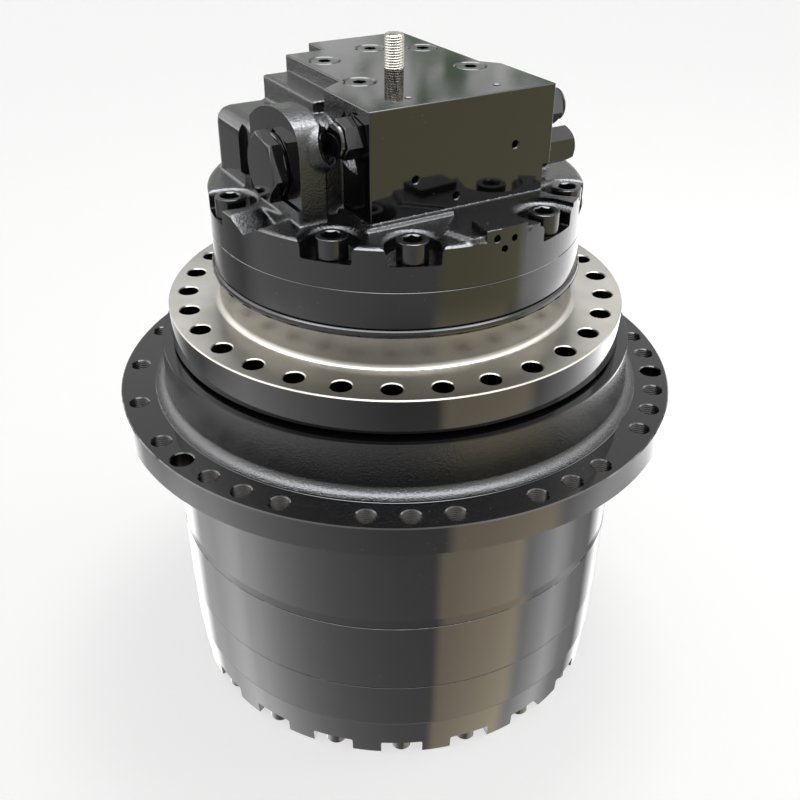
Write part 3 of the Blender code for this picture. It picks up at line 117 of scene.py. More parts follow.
@dataclass(frozen=True)
class Board:
    """A node tree, with the few ways in which this script adds nodes to it."""

    tree: bpy.types.NodeTree

    def add(
        self, kind: str, inputs: dict[str | int, object] | None = None, **settings: object
    ) -> bpy.types.Node:
        """Add a node.

        Args:
            kind: The node's type name.
            inputs: A socket to link or a fixed value, by the name or number of the input.
            settings: The node's own properties.

        Returns:
            The new node.
        """
        node = self.tree.nodes.new(kind)
        for name, value in settings.items():
            setattr(node, name, value)
        for key, value in (inputs or {}).items():
            if isinstance(value, Socket):
                self.tree.links.new(value, node.inputs[key])
            else:
                node.inputs[key].default_value = value
        return node

    def link(self, socket: Socket, node: bpy.types.Node, name: str) -> None:
        """Link a socket to an input of a node.

        Args:
            socket: The output that gives the value.
            node: The node that takes it.
            name: The name of its input.
        """
        self.tree.links.new(socket, node.inputs[name])

    def noise(self, place: Socket, size_mm: float, detail: float, roughness: float = 0.6) -> Socket:
        """Return a noise pattern of a real size.

        Args:
            place: Coordinates in metres.
            size_mm: Size of its coarsest cells.
            detail: Number of finer layers over them.
            roughness: Weight of the finer layers.

        Returns:
            The pattern, from 0 to 1.
        """
        inputs = {"Vector": place, "Scale": 1000 / size_mm, "Detail": detail, "Roughness": roughness}
        return self.add("ShaderNodeTexNoise", inputs).outputs["Fac"]

    def bump(self, height: Socket, depth_mm: float, under: Socket | None = None) -> Socket:
        """Return the normal of a surface with relief.

        Args:
            height: The relief's pattern.
            depth_mm: Height between its lowest and highest place.
            under: Normal of a relief that lies under this one.

        Returns:
            The normal.
        """
        inputs = {"Height": height, "Strength": 1.0, "Distance": depth_mm / 1000}
        if under:
            inputs["Normal"] = under
        return self.add("ShaderNodeBump", inputs).outputs["Normal"]

    def remap(self, value: Socket, limits: Point2, results: Point2 = (0.0, 1.0)) -> Socket:
        """Stretch a value's range, and hold it at the ends.

        Args:
            value: The value.
            limits: The two ends of its range.
            results: What it becomes there.

        Returns:
            The stretched value.
        """
        inputs = {"Value": value, "From Min": limits[0], "From Max": limits[1]}
        inputs |= {"To Min": results[0], "To Max": results[1]}
        return self.add("ShaderNodeMapRange", inputs).outputs["Result"]

    def calculate(self, operation: str, first: Socket, second: Socket | float) -> Socket:
        """Return the result of a sum on two values.

        Args:
            operation: The Math node's operation.
            first: The first value.
            second: The second value.

        Returns:
            The result.
        """
        return self.add("ShaderNodeMath", {0: first, 1: second}, operation=operation).outputs["Value"]

    def mix(self, share: Socket, first: Socket | Colour, second: Socket | Colour) -> Socket:
        """Mix two colours.

        Args:
            share: Share of the second one.
            first: A colour.
            second: Another colour.

        Returns:
            The mixed colour.
        """
        inputs = {"Factor": share, MIX_FIRST: first, MIX_SECOND: second}
        return self.add("ShaderNodeMix", inputs, data_type="RGBA").outputs[MIX_RESULT]

    def mix_shaders(self, share: Socket, first: Socket, second: Socket) -> Socket:
        """Mix two shaders.

        Args:
            share: Share of the second one.
            first: A shader.
            second: Another shader.

        Returns:
            The mixed shader.
        """
        return self.add("ShaderNodeMixShader", {0: share, 1: first, 2: second}).outputs["Shader"]


@dataclass(frozen=True)
class Finish:
    """A finish: the name of the real material and the look of its surface."""

    name: str
    colour: str
    metallic: float
    roughness: float

    def material(self) -> bpy.types.Material:
        """Return the finish's material, made on first use."""
        existing = bpy.data.materials.get(self.name)
        if existing:
            return existing
        material = bpy.data.materials.new(self.name)
        material.use_nodes = True
        shader = material.node_tree.nodes["Principled BSDF"]
        shader.inputs["Base Color"].default_value = to_linear(self.colour)
        shader.inputs["Metallic"].default_value = self.metallic
        shader.inputs["Roughness"].default_value = self.roughness
        board = Board(material.node_tree)
        self.dress(board, shader, board.add("ShaderNodeTexCoord").outputs["Object"])
        return material

    def dress(self, board: Board, shader: bpy.types.Node, place: Socket) -> None:
        """Add the finish's own patterns; a plain finish has none.

        Args:
            board: The material's nodes.
            shader: The Principled shader.
            place: Object coordinates in metres.
        """


@dataclass(frozen=True)
class Enamel(Finish):
    """Gloss enamel sprayed on iron.

    The wet-looking film mirrors the yard. On cast ground the sand's grain shows through it, and on
    machined ground only a faint orange peel does. Dust specks lie on it in patches.
    """

    ground: Ground = Ground.MACHINED
    grain_mm: float = 2.1
    grain_depth_mm: float = 0.60
    peel_mm: float = 5.0
    peel_depth_mm: float = 0.010
    dust: str = "#6d6960"
    dust_pitch_mm: float = 9.0
    dust_patch_mm: float = 60.0

    def dress(self, board: Board, shader: bpy.types.Node, place: Socket) -> None:
        """Add dust, orange peel and the ground's own relief."""
        relief = board.bump(board.noise(place, self.peel_mm, 1.0, 0.5), self.peel_depth_mm)
        if self.ground is Ground.AS_CAST:
            relief = board.bump(board.noise(place, self.grain_mm, 3.0), self.grain_depth_mm, relief)
        board.link(relief, shader, "Normal")
        self.add_dust(board, shader, place)

    def add_dust(self, board: Board, shader: bpy.types.Node, place: Socket) -> None:
        """Strew pale dust specks about a millimetre across, and vary the gloss in patches."""
        cells = {"Vector": place, "Scale": 1000 / self.dust_pitch_mm, "Randomness": 1.0}
        specks = board.add("ShaderNodeTexVoronoi", cells).outputs["Distance"]
        patches = board.noise(place, self.dust_patch_mm, 4.0)
        dusty = board.remap(patches, (0.45, 0.62))
        share = board.calculate("MULTIPLY", board.remap(specks, (0.040, 0.065), (1.0, 0.0)), dusty)
        board.link(board.mix(share, to_linear(self.colour), to_linear(self.dust)), shader, "Base Color")
        gloss = (self.roughness * 0.8, self.roughness * 1.5)
        board.link(board.remap(patches, (0.35, 0.70), gloss), shader, "Roughness")


@dataclass(frozen=True)
class TurnedIron(Finish):
    """Bare iron fresh from the lathe: fine rings draw the light out across them."""

    pitch_mm: float = 0.9
    depth_mm: float = 0.010
    stain: str = "#7f7c75"
    stain_mm: float = 45.0
    stretch: float = 0.6

    def turning(self, board: Board, place: Socket) -> Socket:
        """Return radius plus height, which crosses the tool's marks on flat faces and on walls."""
        split = board.add("ShaderNodeSeparateXYZ", {"Vector": place})
        flat = board.add("ShaderNodeCombineXYZ", {"X": split.outputs["X"], "Y": split.outputs["Y"]})
        radius = board.add("ShaderNodeVectorMath", {0: flat.outputs["Vector"]}, operation="LENGTH")
        return board.calculate("ADD", radius.outputs["Value"], split.outputs["Z"])

    def dress(self, board: Board, shader: bpy.types.Node, place: Socket) -> None:
        """Add the tool's rings and a few faint stains."""
        marks = {"W": self.turning(board, place), "Scale": 1000 / self.pitch_mm, "Detail": 2.0}
        rings = board.add("ShaderNodeTexNoise", marks, noise_dimensions="1D").outputs["Fac"]
        board.link(board.bump(rings, self.depth_mm), shader, "Normal")
        tone = board.add("ShaderNodeValToRGB", {"Fac": board.noise(place, self.stain_mm, 5.0)})
        stops = ((0.35, self.stain), (0.65, self.colour))
        for element, (position, colour) in zip(tone.color_ramp.elements, stops):
            element.position = position
            element.color = to_linear(colour)
        board.link(tone.outputs["Color"], shader, "Base Color")
        shader.inputs["Anisotropic"].default_value = self.stretch
        tangent = board.add("ShaderNodeTangent", direction_type="RADIAL", axis="Z")
        board.link(tangent.outputs["Tangent"], shader, "Tangent")


@dataclass(frozen=True)
class PlatedSteel(Finish):
    """Steel with a thin plated or oiled skin: even sheen with slight clouding."""

    cloud_mm: float = 6.0

    def dress(self, board: Board, shader: bpy.types.Node, place: Socket) -> None:
        """Vary the gloss in clouds."""
        clouds = board.noise(place, self.cloud_mm, 3.0, 0.5)
        gloss = (self.roughness * 0.75, self.roughness * 1.35)
        board.link(board.remap(clouds, (0.3, 0.7), gloss), shader, "Roughness")


MACHINED_ENAMEL = Enamel("gloss_enamel_on_machined_iron", "#0b0b0c", 0.0, 0.065)
CAST_ENAMEL = Enamel("gloss_enamel_on_cast_iron", "#0c0c0d", 0.0, 0.13, ground=Ground.AS_CAST)
BARE_IRON = TurnedIron("turned_bare_iron", "#8b8882", 1.0, 0.34)
ZINC_PLATE = PlatedSteel("bright_zinc_plated_steel", "#98958c", 1.0, 0.30)
OXIDE_ENAMEL = PlatedSteel("enamelled_black_oxide_steel", "#111112", 0.0, 0.17)
# Painted shade: the cut steel inside the holes is darkened to stand for the shade that falls in them
SHADED_BORE_STEEL = PlatedSteel("cut_steel_bore_painted_shade", "#2c2b2a", 1.0, 0.30)
HARDENED_STEEL = PlatedSteel("case_hardened_gear_steel", "#86858a", 1.0, 0.30)
GROUND_STEEL = PlatedSteel("ground_bearing_steel", "#c8c8cc", 1.0, 0.14)
BRONZE = PlatedSteel("machined_valve_bronze", "#b08a52", 1.0, 0.30)


class Shape:
    """A closed mesh under construction, with the tools of a small machine shop."""

    def __init__(self, name: str, mesh: bpy.types.Mesh) -> None:
        """Keep the mesh in a scratch object that isn't in the scene.

        Args:
            name: The piece's name.
            mesh: Its mesh, in the CAD frame.
        """
        self.name = name
        self.obj = bpy.data.objects.new(name, mesh)

    @classmethod
    def from_shell(cls, name: str, shell: bmesh.types.BMesh) -> "Shape":
        """Close a working mesh into a shape, with its faces turned outwards."""
        bmesh.ops.remove_doubles(shell, verts=shell.verts, dist=WELD)
        bmesh.ops.recalc_face_normals(shell, faces=shell.faces)
        mesh = bpy.data.meshes.new(name)
        shell.to_mesh(mesh)
        shell.free()
        return cls(name, mesh)

    @classmethod
    def turned(
        cls,
        name: str,
        profile: Sequence[Point2],
        segments: int = RING_SEGMENTS,
        place: Matrix | None = None,
    ) -> "Shape":
        """Turn a closed profile about Z.

        Args:
            name: The piece's name.
            profile: Radius and height of each corner, in order round the section.
            segments: Steps round the circle.
            place: Where the turned shape goes.

        Returns:
            The shape.
        """
        shell = bmesh.new()
        rings = []
        for radius, height in profile:
            if radius < WELD:
                rings.append([shell.verts.new((0, 0, height))] * segments)
                continue
            ring = []
            for step in range(segments):
                ring.append(shell.verts.new((*polar(radius, step * FULL_TURN / segments), height)))
            rings.append(ring)
        count = len(rings)
        for index in range(count):
            upper = rings[index]
            lower = rings[(index + 1) % count]
            for step in range(segments):
                after = (step + 1) % segments
                corners = dict.fromkeys((upper[step], upper[after], lower[after], lower[step]))
                if len(corners) > 2:
                    shell.faces.new(list(corners))
        if place:
            shell.transform(place)
        return cls.from_shell(name, shell)

    @classmethod
    def prism(
        cls, name: str, outline: Sequence[Point2], low: float, high: float, place: Matrix | None = None
    ) -> "Shape":
        """Extrude a flat outline along Z.

        Args:
            name: The piece's name.
            outline: Corners in order.
            low: Height of the lower face.
            high: Height of the upper face.
            place: Where the prism goes.

        Returns:
            The shape.
        """
        shell = bmesh.new()
        lower = [shell.verts.new((x, y, low)) for x, y in outline]
        upper = [shell.verts.new((x, y, high)) for x, y in outline]
        shell.faces.new(lower)
        shell.faces.new(upper)
        count = len(outline)
        for index in range(count):
            after = (index + 1) % count
            shell.faces.new((lower[index], lower[after], upper[after], upper[index]))
        if place:
            shell.transform(place)
        return cls.from_shell(name, shell)

    @classmethod
    def rod(
        cls,
        name: str,
        radius: float,
        low: float,
        high: float,
        place: Matrix | None = None,
        segments: int = ROUND_SEGMENTS,
        top_radius: float | None = None,
    ) -> "Shape":
        """Make an upright cylinder, or a cone where top_radius is given.

        Args:
            name: The piece's name.
            radius: Radius at the foot.
            low: Height of the foot.
            high: Height of the top.
            place: Where the rod goes.
            segments: Steps round the circle.
            top_radius: Radius at the top.

        Returns:
            The shape.
        """
        upper = radius if top_radius is None else top_radius
        return cls.turned(name, [(0, high), (upper, high), (radius, low), (0, low)], segments, place)

    @classmethod
    def copy_of(cls, name: str, node: str) -> "Shape":
        """Return a welded copy of a CAD node's mesh, in the shared frame."""
        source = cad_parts[node]
        shell = bmesh.new()
        shell.from_mesh(source.data)
        shell.transform(source.matrix_world)
        return cls.from_shell(name, shell)

    @classmethod
    def block(
        cls, name: str, low: Sequence[float], high: Sequence[float], place: Matrix | None = None
    ) -> "Shape":
        """Make a box between two corners."""
        outline = [(low[0], low[1]), (high[0], low[1]), (high[0], high[1]), (low[0], high[1])]
        return cls.prism(name, outline, low[2], high[2], place)

    def bake(self) -> "Shape":
        """Turn the scratch object's modifiers into plain mesh."""
        collection = bpy.context.scene.collection
        collection.objects.link(self.obj)
        bpy.context.view_layer.update()
        evaluated = self.obj.evaluated_get(bpy.context.evaluated_depsgraph_get())
        mesh = bpy.data.meshes.new_from_object(evaluated)
        collection.objects.unlink(self.obj)
        old = self.obj.data
        self.obj.modifiers.clear()
        self.obj.data = mesh
        bpy.data.meshes.remove(old)
        return self

    def combine(self, others: Iterable["Shape"], operation: str) -> "Shape":
        """Join, cut or keep what is common with other shapes, which are used up.

        Args:
            others: The other shapes.
            operation: UNION, DIFFERENCE or INTERSECT.

        Returns:
            This shape.
        """
        spent = list(others)
        for other in spent:
            modifier = self.obj.modifiers.new("Combine", "BOOLEAN")
            modifier.operation = operation
            modifier.solver = "MANIFOLD"
            modifier.object = other.obj
        self.bake()
        for other in spent:
            other.discard()
        return self

    def cut(self, *others: "Shape") -> "Shape":
        """Take other shapes away from this one."""
        return self.combine(others, "DIFFERENCE")

    def join(self, *others: "Shape") -> "Shape":
        """Add other shapes to this one."""
        return self.combine(others, "UNION")

    def round_edges(self, width: float, steps: int = 2, angle: float = 30.0) -> "Shape":
        """Round the edges that are sharper than an angle in degrees."""
        modifier = self.obj.modifiers.new("Edges", "BEVEL")
        modifier.width = width
        modifier.segments = steps
        modifier.limit_method = "ANGLE"
        modifier.angle_limit = math.radians(angle)
        return self.bake()

    def cast(self, voxel: float, rounds: int) -> "Shape":
        """Melt the shape into one casting with soft fillets.

        Args:
            voxel: Cell size of the new skin.
            rounds: Times that the skin is relaxed.

        Returns:
            This shape.
        """
        skin = self.obj.modifiers.new("Skin", "REMESH")
        skin.mode = "VOXEL"
        skin.voxel_size = voxel
        relax = self.obj.modifiers.new("Relax", "SMOOTH")
        relax.factor = 0.5
        relax.iterations = rounds
        return self.bake()

    def discard(self) -> None:
        """Remove the scratch object and its mesh."""
        mesh = self.obj.data
        bpy.data.objects.remove(self.obj)
        bpy.data.meshes.remove(mesh)

    def finish(
        self,
        body: Body,
        slot: Slot,
        finishes: Sequence[Finish],
        replaces: Sequence[str] = (),
        zone: Callable[[Vector, Vector], int] | None = None,
        sharp: float = 35.0,
    ) -> bpy.types.Object:
        """Put the piece in the scene on its body.

        Args:
            body: The body that it rides on.
            slot: The record's slot; not used.
            finishes: Its finishes, the first one the main one.
            replaces: CAD nodes that it stands for.
            zone: Number of the finish for a face, from its centre and normal.
            sharp: Angle in degrees above which an edge stays sharp.

        Returns:
            The object.
        """
        mesh = self.obj.data
        mesh.materials.clear()
        for item in finishes:
            mesh.materials.append(item.material())
        for face in mesh.polygons:
            face.material_index = zone(face.center, face.normal) if zone else 0
        mesh.shade_smooth()
        mesh.set_sharp_from_angle(angle=math.radians(sharp))
        # Large flat faces keep their own normal, so that mirrored tones stay straight on them
        flatten = self.obj.modifiers.new("Flatten", "WEIGHTED_NORMAL")
        flatten.weight = 100
        flatten.keep_sharp = True
        mesh = self.bake().obj.data
        mesh.name = self.name
        bpy.context.scene.collection.objects.link(self.obj)
        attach(self.obj, body.value)
        if replaces:
            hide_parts(*replaces)
        LOG.info("%s: %d faces", self.name, len(mesh.polygons))
        return self.obj


def polar(radius: float, angle: float) -> Point2:
    """Return the flat point at a radius and angle."""
    return radius * math.cos(angle), radius * math.sin(angle)


def arc(centre: Point2, radius: float, start: float, end: float, steps: int = 6) -> list[Point2]:
    """Return points on an arc, ends included, with angles in degrees."""
    points = []
    for step in range(steps + 1):
        x, y = polar(radius, math.radians(start + (end - start) * step / steps))
        points.append((centre[0] + x, centre[1] + y))
    return points


def hexagon(flats: float, turn: float = 0.0) -> list[Point2]:
    """Return the corners of a hexagon of a width across flats, turned by some degrees."""
    first = math.radians(turn)
    return [polar(flats / math.sqrt(3), first + step * FULL_TURN / 6) for step in range(6)]


def at(x: float, y: float, z: float = 0.0) -> Matrix:
    """Return a move to a place."""
    return Matrix.Translation((x, y, z))


def around(degrees: float) -> Matrix:
    """Return a turn about Z."""
    return Matrix.Rotation(math.radians(degrees), 4, "Z")


def place_in_ring(first: float, number: int, count: int) -> float:
    """Return the angle of one of a ring's even places.

    Args:
        first: Angle of the first place in degrees.
        number: Number of the place, from 0.
        count: Number of places in the ring.

    Returns:
        The angle in radians.
    """
    return math.radians(first) + number * FULL_TURN / count


def drilled(
    name: str, radius: float, low: float, high: float, chamfer: float, place: Matrix, pitch: float
) -> Shape:
    """Return the cutter of a through hole with a chamfer at each end, threaded or plain.

    Args:
        name: Name of the cutters.
        radius: The hole's radius.
        low: Height of the lower face.
        high: Height of the upper face.
        chamfer: Width of the chamfers.
        place: Where the hole's axis stands.
        pitch: Distance between the thread's crests, or 0 for a plain hole.

    Returns:
        A rod with flared ends, and with a groove for each turn of a thread.
    """
    start = high - chamfer
    end = low + chamfer
    grooves = []
    if pitch:
        for number in range(int((start - end) / pitch)):
            crest = start - number * pitch
            grooves += [(radius, crest), (radius + THREAD_DEPTH, crest - pitch / 2)]
    profile = [
        (0, high + SLACK),
        (radius + chamfer + SLACK, high + SLACK),
        *(grooves or [(radius, start)]),
        (radius, end),
        (radius + chamfer + SLACK, low - SLACK),
        (0, low - SLACK),
    ]
    return Shape.turned(name, profile, HOLE_SEGMENTS, place)


def counterbore(
    name: str,
    radius: float,
    lead: float,
    depth: float,
    place: Matrix,
    segments: int = ROUND_SEGMENTS,
    point: float = 0.0,
) -> Shape:
    """Return the cutter of a blind hole with a flared mouth.

    Args:
        name: The cutter's name.
        radius: The hole's radius.
        lead: Width and depth of the flare.
        depth: Depth of the hole's wall.
        place: Frame on the mouth, with Z outwards.
        segments: Steps round the hole.
        point: How much deeper its middle is than its wall.

    Returns:
        The cutter.
    """
    profile = [
        (0, SLACK),
        (radius + lead + SLACK, SLACK),
        (radius, -lead),
        (radius, -depth),
        (0, -depth - point),
    ]
    return Shape.turned(name, profile, segments, place)


@dataclass
class MotorCase:
    """The frame flange with its bare turned face, the pilot, lip and case band."""

    flange_radius: float = 0.2455
    flange_back: float = 0.430
    flange_face: float = 0.467
    pilot_radius: float = 0.190
    lip_radius: float = 0.196
    lip_foot: float = 0.501
    lip_top: float = 0.510
    band_radius: float = 0.193
    band_top: float = 0.548
    bolt_circle: float = 0.225
    bolts: int = 30
    first_bolt: float = -90.7
    hole_radius: float = 0.0105
    chamfer: float = 0.0010
    edge: float = 0.0012
    fillet: float = 0.007
    neck_radius: float = 0.186
    neck_foot: float = 0.388
    spindle_radius: float = 0.160
    spindle_foot: float = 0.234
    spindle_bore: float = 0.120
    shaft_bore: float = 0.034
    cavity_radius: float = 0.150
    cavity_floor: float = 0.413

    def profile(self) -> list[Point2]:
        """Return the section, from the band's top outwards and down."""
        corner = (self.pilot_radius + self.fillet, self.flange_face + self.fillet)
        return [
            (self.cavity_radius, self.band_top),
            (self.band_radius - 0.0008, self.band_top),
            (self.band_radius, self.band_top - 0.0008),
            (self.band_radius, self.lip_top + 0.0022),
            (self.band_radius - 0.0015, self.lip_top + 0.0014),
            (self.band_radius - 0.0015, self.lip_top + 0.0004),
            (self.lip_radius - 0.0030, self.lip_top),
            (self.lip_radius - 0.0008, self.lip_top - 0.0012),
            (self.lip_radius, self.lip_top - 0.0034),
            (self.lip_radius - 0.0006, self.lip_foot + 0.0022),
            (self.lip_radius - 0.0026, self.lip_foot + 0.0004),
            (self.pilot_radius - self.edge, self.lip_foot),
            (self.pilot_radius - self.edge, self.lip_foot - 0.0010),
            (self.pilot_radius, self.lip_foot - self.edge),
            *arc(corner, self.fillet, 180, 270),
            (self.flange_radius - self.edge, self.flange_face),
            (self.flange_radius, self.flange_face - self.edge),
            (self.flange_radius, self.flange_back + 0.0015),
            (self.flange_radius - 0.0015, self.flange_back),
            (self.neck_radius, self.flange_back),
            (self.neck_radius, self.neck_foot),
            (self.spindle_radius, self.neck_foot),
            (self.spindle_radius, self.spindle_foot),
            (self.spindle_bore, self.spindle_foot),
            (self.spindle_bore, self.neck_foot),
            (self.shaft_bore, self.neck_foot),
            (self.shaft_bore, self.cavity_floor),
            (self.cavity_radius, self.cavity_floor),
        ]

    def zone(self, centre: Vector, normal: Vector) -> int:
        """Return 1 on the bare turned faces, 2 in the holes and 0 on enamel."""
        radius = math.hypot(centre.x, centre.y)
        if centre.z < self.flange_face - 0.0013:
            in_ring = abs(radius - self.bolt_circle) < self.hole_radius + 0.001
            return 2 if in_ring and abs(normal.z) < 0.5 and self.flange_back < centre.z else 0
        return 1 if centre.z < self.lip_foot - 0.0009 and radius < self.flange_radius else 0

    def build(self) -> None:
        """Turn, drill and dress the case."""
        case = Shape.turned("motor_case_turned", self.profile())
        cutters = []
        for number in range(self.bolts):
            angle = place_in_ring(self.first_bolt, number, self.bolts)
            place = at(*polar(self.bolt_circle, angle))
            ends = (self.flange_back, self.flange_face)
            cutters.append(drilled("hole", self.hole_radius, *ends, self.chamfer, place, 0))
        case.cut(*cutters)
        case.finish(
            Body.FRAME_SIDE,
            Slot.ENAMEL,
            (MACHINED_ENAMEL, BARE_IRON, SHADED_BORE_STEEL),
            ("motor_case",),
            self.zone,
        )


@dataclass
class SprocketHub:
    """The cast hub with the drilled sprocket flange and the drum's upper barrel."""

    rim_radius: float = 0.257
    rim_top: float = 0.427
    flange_radius: float = 0.3074
    face: float = 0.371
    back: float = 0.339
    foot_radius: float = 0.270
    drum_radius: float = 0.257
    groove_top: float = 0.208
    groove_foot: float = 0.198
    bolt_circle: float = 0.290
    pitches: int = 44
    first_angle: float = -136.1
    hole_radius: float = 0.0098
    dowel_radius: float = 0.0115
    thread_pitch: float = 0.0025
    dowels: tuple[int, ...] = (0, 16, 22, 32)
    plain: tuple[int, ...] = (4, 8, 12, 20, 26, 30, 34, 38, 40, 42)
    chamfer: float = 0.0012
    bore_radius: float = 0.222
    bore_foot: float = 0.267
    bore_top: float = 0.3955
    race_radius: float = 0.2153
    shoulder_radius: float = 0.200
    shoulder_foot: float = 0.3071
    shoulder_top: float = 0.3477
    seal_radius: float = 0.2365
    seal_floor: float = 0.418

    def profile(self) -> list[Point2]:
        """Return the section, from the rim's inner edge outwards and down."""
        fillet = arc((self.foot_radius - 0.0006, self.face + 0.0135), 0.0115, 196, 262, 7)
        return [
            (self.seal_radius, self.rim_top),
            (self.rim_radius - 0.0022, self.rim_top),
            (self.rim_radius - 0.0004, self.rim_top - 0.0004),
            (self.rim_radius, self.rim_top - 0.0024),
            (self.rim_radius + 0.0006, self.rim_top - 0.016),
            *fillet,
            (self.foot_radius, self.face + 0.0018),
            (self.foot_radius, self.face + 0.0003),
            (self.foot_radius + 0.0004, self.face),
            (self.flange_radius - 0.0012, self.face),
            (self.flange_radius, self.face - 0.0012),
            (self.flange_radius, self.back + 0.0015),
            (self.flange_radius - 0.0015, self.back),
            (self.drum_radius + 0.004, self.back),
            (self.drum_radius + 0.0012, self.back - 0.0012),
            (self.drum_radius, self.back - 0.004),
            (self.drum_radius, self.groove_top + 0.0004),
            (self.drum_radius - 0.0012, self.groove_top - 0.0008),
            (self.drum_radius - 0.0004, self.groove_foot),
            (self.bore_radius, self.groove_foot),
            (self.bore_radius, self.bore_foot),
            (self.race_radius, self.bore_foot),
            (self.race_radius, self.shoulder_foot),
            (self.shoulder_radius, self.shoulder_foot),
            (self.shoulder_radius, self.shoulder_top),
            (self.race_radius, self.shoulder_top),
            (self.race_radius, self.bore_top),
            (self.bore_radius, self.bore_top),
            (self.bore_radius, self.seal_floor),
            (self.seal_radius, self.seal_floor),
        ]

    def zone(self, centre: Vector, normal: Vector) -> int:
        """Return 1 on the rough casting, 2 in the holes and 0 on machined faces."""
        radius = math.hypot(centre.x, centre.y)
        if self.back + 0.0013 < centre.z < self.face - 0.0013:
            in_ring = abs(radius - self.bolt_circle) < self.dowel_radius + 0.001
            return 2 if in_ring and abs(normal.z) < 0.9 else 0
        cast = self.face + 0.0019 < centre.z < self.rim_top - 0.0020 and radius > self.rim_radius - 0.001
        return 1 if cast else 0

    def build(self) -> None:
        """Turn, drill and dress the hub."""
        hub = Shape.turned("sprocket_hub_casting", self.profile())
        cutters = []
        for number in range(self.pitches):
            if number in self.plain:
                continue
            dowel = number in self.dowels
            radius = self.dowel_radius if dowel else self.hole_radius
            pitch = 0 if dowel else self.thread_pitch
            place = at(*polar(self.bolt_circle, place_in_ring(self.first_angle, number, self.pitches)))
            cutters.append(drilled("hole", radius, self.back, self.face, self.chamfer, place, pitch))
        hub.cut(*cutters)
        hub.finish(
            Body.HUB,
            Slot.ENAMEL,
            (MACHINED_ENAMEL, CAST_ENAMEL, SHADED_BORE_STEEL),
            ("sprocket_hub",),
            self.zone,
        )


@dataclass
class DrumRings:
    """The two ring gears: a smooth enamelled wall round the CAD teeth, with a fine seam."""

    radius: float = 0.257
    seams: tuple[float, float, float] = (0.0510, 0.1100, 0.1980)
    edge: float = 0.0009
    wall_inside: float = 0.247
    lap: float = 0.003

    def zone(self, centre: Vector, normal: Vector) -> int:
        """Return 1 on the teeth inside and 0 on the enamelled wall."""
        return 1 if math.hypot(centre.x, centre.y) < self.wall_inside + self.edge else 0

    def build(self) -> None:
        """Join a smooth wall to the teeth of each ring gear."""
        first, second, third = self.seams
        for node, low, high, top_radius, foot_radius in (
            ("ring_gear_stage_1", first, second, self.radius - 0.0010, self.radius - 0.0022),
            ("ring_gear_stage_2", second, third, self.radius, self.radius - 0.0004),
        ):
            top = high - GAP
            profile = [
                (self.wall_inside, top),
                (top_radius - self.edge, top),
                (top_radius, top - self.edge),
                (foot_radius, low + self.edge),
                (foot_radius - self.edge, low),
                (self.wall_inside, low),
            ]
            ring = Shape.turned(f"{node}_walled", profile)
            teeth = Shape.copy_of("teeth", node)
            trim = Shape.rod("trim", self.wall_inside + self.lap, low - SLACK, high, None, RING_SEGMENTS)
            ring.join(teeth.combine([trim], "INTERSECT"))
            ring.finish(Body.HUB, Slot.ENAMEL, (MACHINED_ENAMEL, HARDENED_STEEL), (node,), self.zone)


@dataclass
class EndCover:
    """The dished cover with a castellated rim and a bolt head in every notch."""

    top: float = 0.0507
    top_radius: float = 0.2540
    foot_radius: float = 0.2510
    rim_inner: float = 0.222
    dish: float = 0.012
    notches: int = 20
    first_notch: float = -88.0
    notch_height: float = 0.017
    notch_width: float = 0.0464
    notch_depth: float = 0.028
    notch_edge: float = 0.0022
    bolt_circle: float = 0.2385
    head_radius: float = 0.011
    head_height: float = 0.0152
    edge: float = 0.0012
    boss_radius: float = 0.020
    boss_top: float = 0.0632
    inside_floor: float = 0.030
    inside_radius: float = 0.216

    def place(self, number: int) -> Matrix:
        """Return the turn to a notch."""
        return Matrix.Rotation(place_in_ring(self.first_notch, number, self.notches), 4, "Z")

    def build(self) -> None:
        """Turn the cover, mill its notches and set the bolt heads."""
        profile = [
            (0, self.boss_top),
            (self.boss_radius, self.boss_top),
            (self.boss_radius, self.inside_floor),
            (self.inside_radius, self.inside_floor),
            (self.inside_radius, self.top),
            (self.top_radius - 0.0009, self.top),
            (self.top_radius, self.top - 0.0009),
            (self.foot_radius, 0.0014),
            (self.foot_radius - 0.0014, 0),
            (self.rim_inner + 0.001, 0),
            (self.rim_inner, 0.001),
            (self.rim_inner, self.dish),
            (0, self.dish),
        ]
        cover = Shape.turned("end_cover_casting", profile)
        reach = self.foot_radius - self.notch_depth
        low = (reach, -self.notch_width / 2, -self.notch_height)
        high = (self.foot_radius + 0.02, self.notch_width / 2, self.notch_height)
        foot = self.notch_height - self.head_height
        sunk = self.notch_height + 0.004
        head = [
            (0, sunk),
            (self.head_radius, sunk),
            (self.head_radius, foot + self.edge),
            (self.head_radius - self.edge, foot),
            (0, foot),
        ]
        cutters = []
        heads = []
        for number in range(self.notches):
            place = self.place(number)
            cutter = Shape.block("notch", low, high).round_edges(self.notch_edge, 3)
            cutter.obj.data.transform(place)
            cutters.append(cutter)
            heads.append(Shape.turned("head", head, 32, place @ at(self.bolt_circle, 0)))
        cover.cut(*cutters)
        cover.join(*heads)
        cover.finish(Body.HUB, Slot.ENAMEL, (MACHINED_ENAMEL,), ("end_cover",))


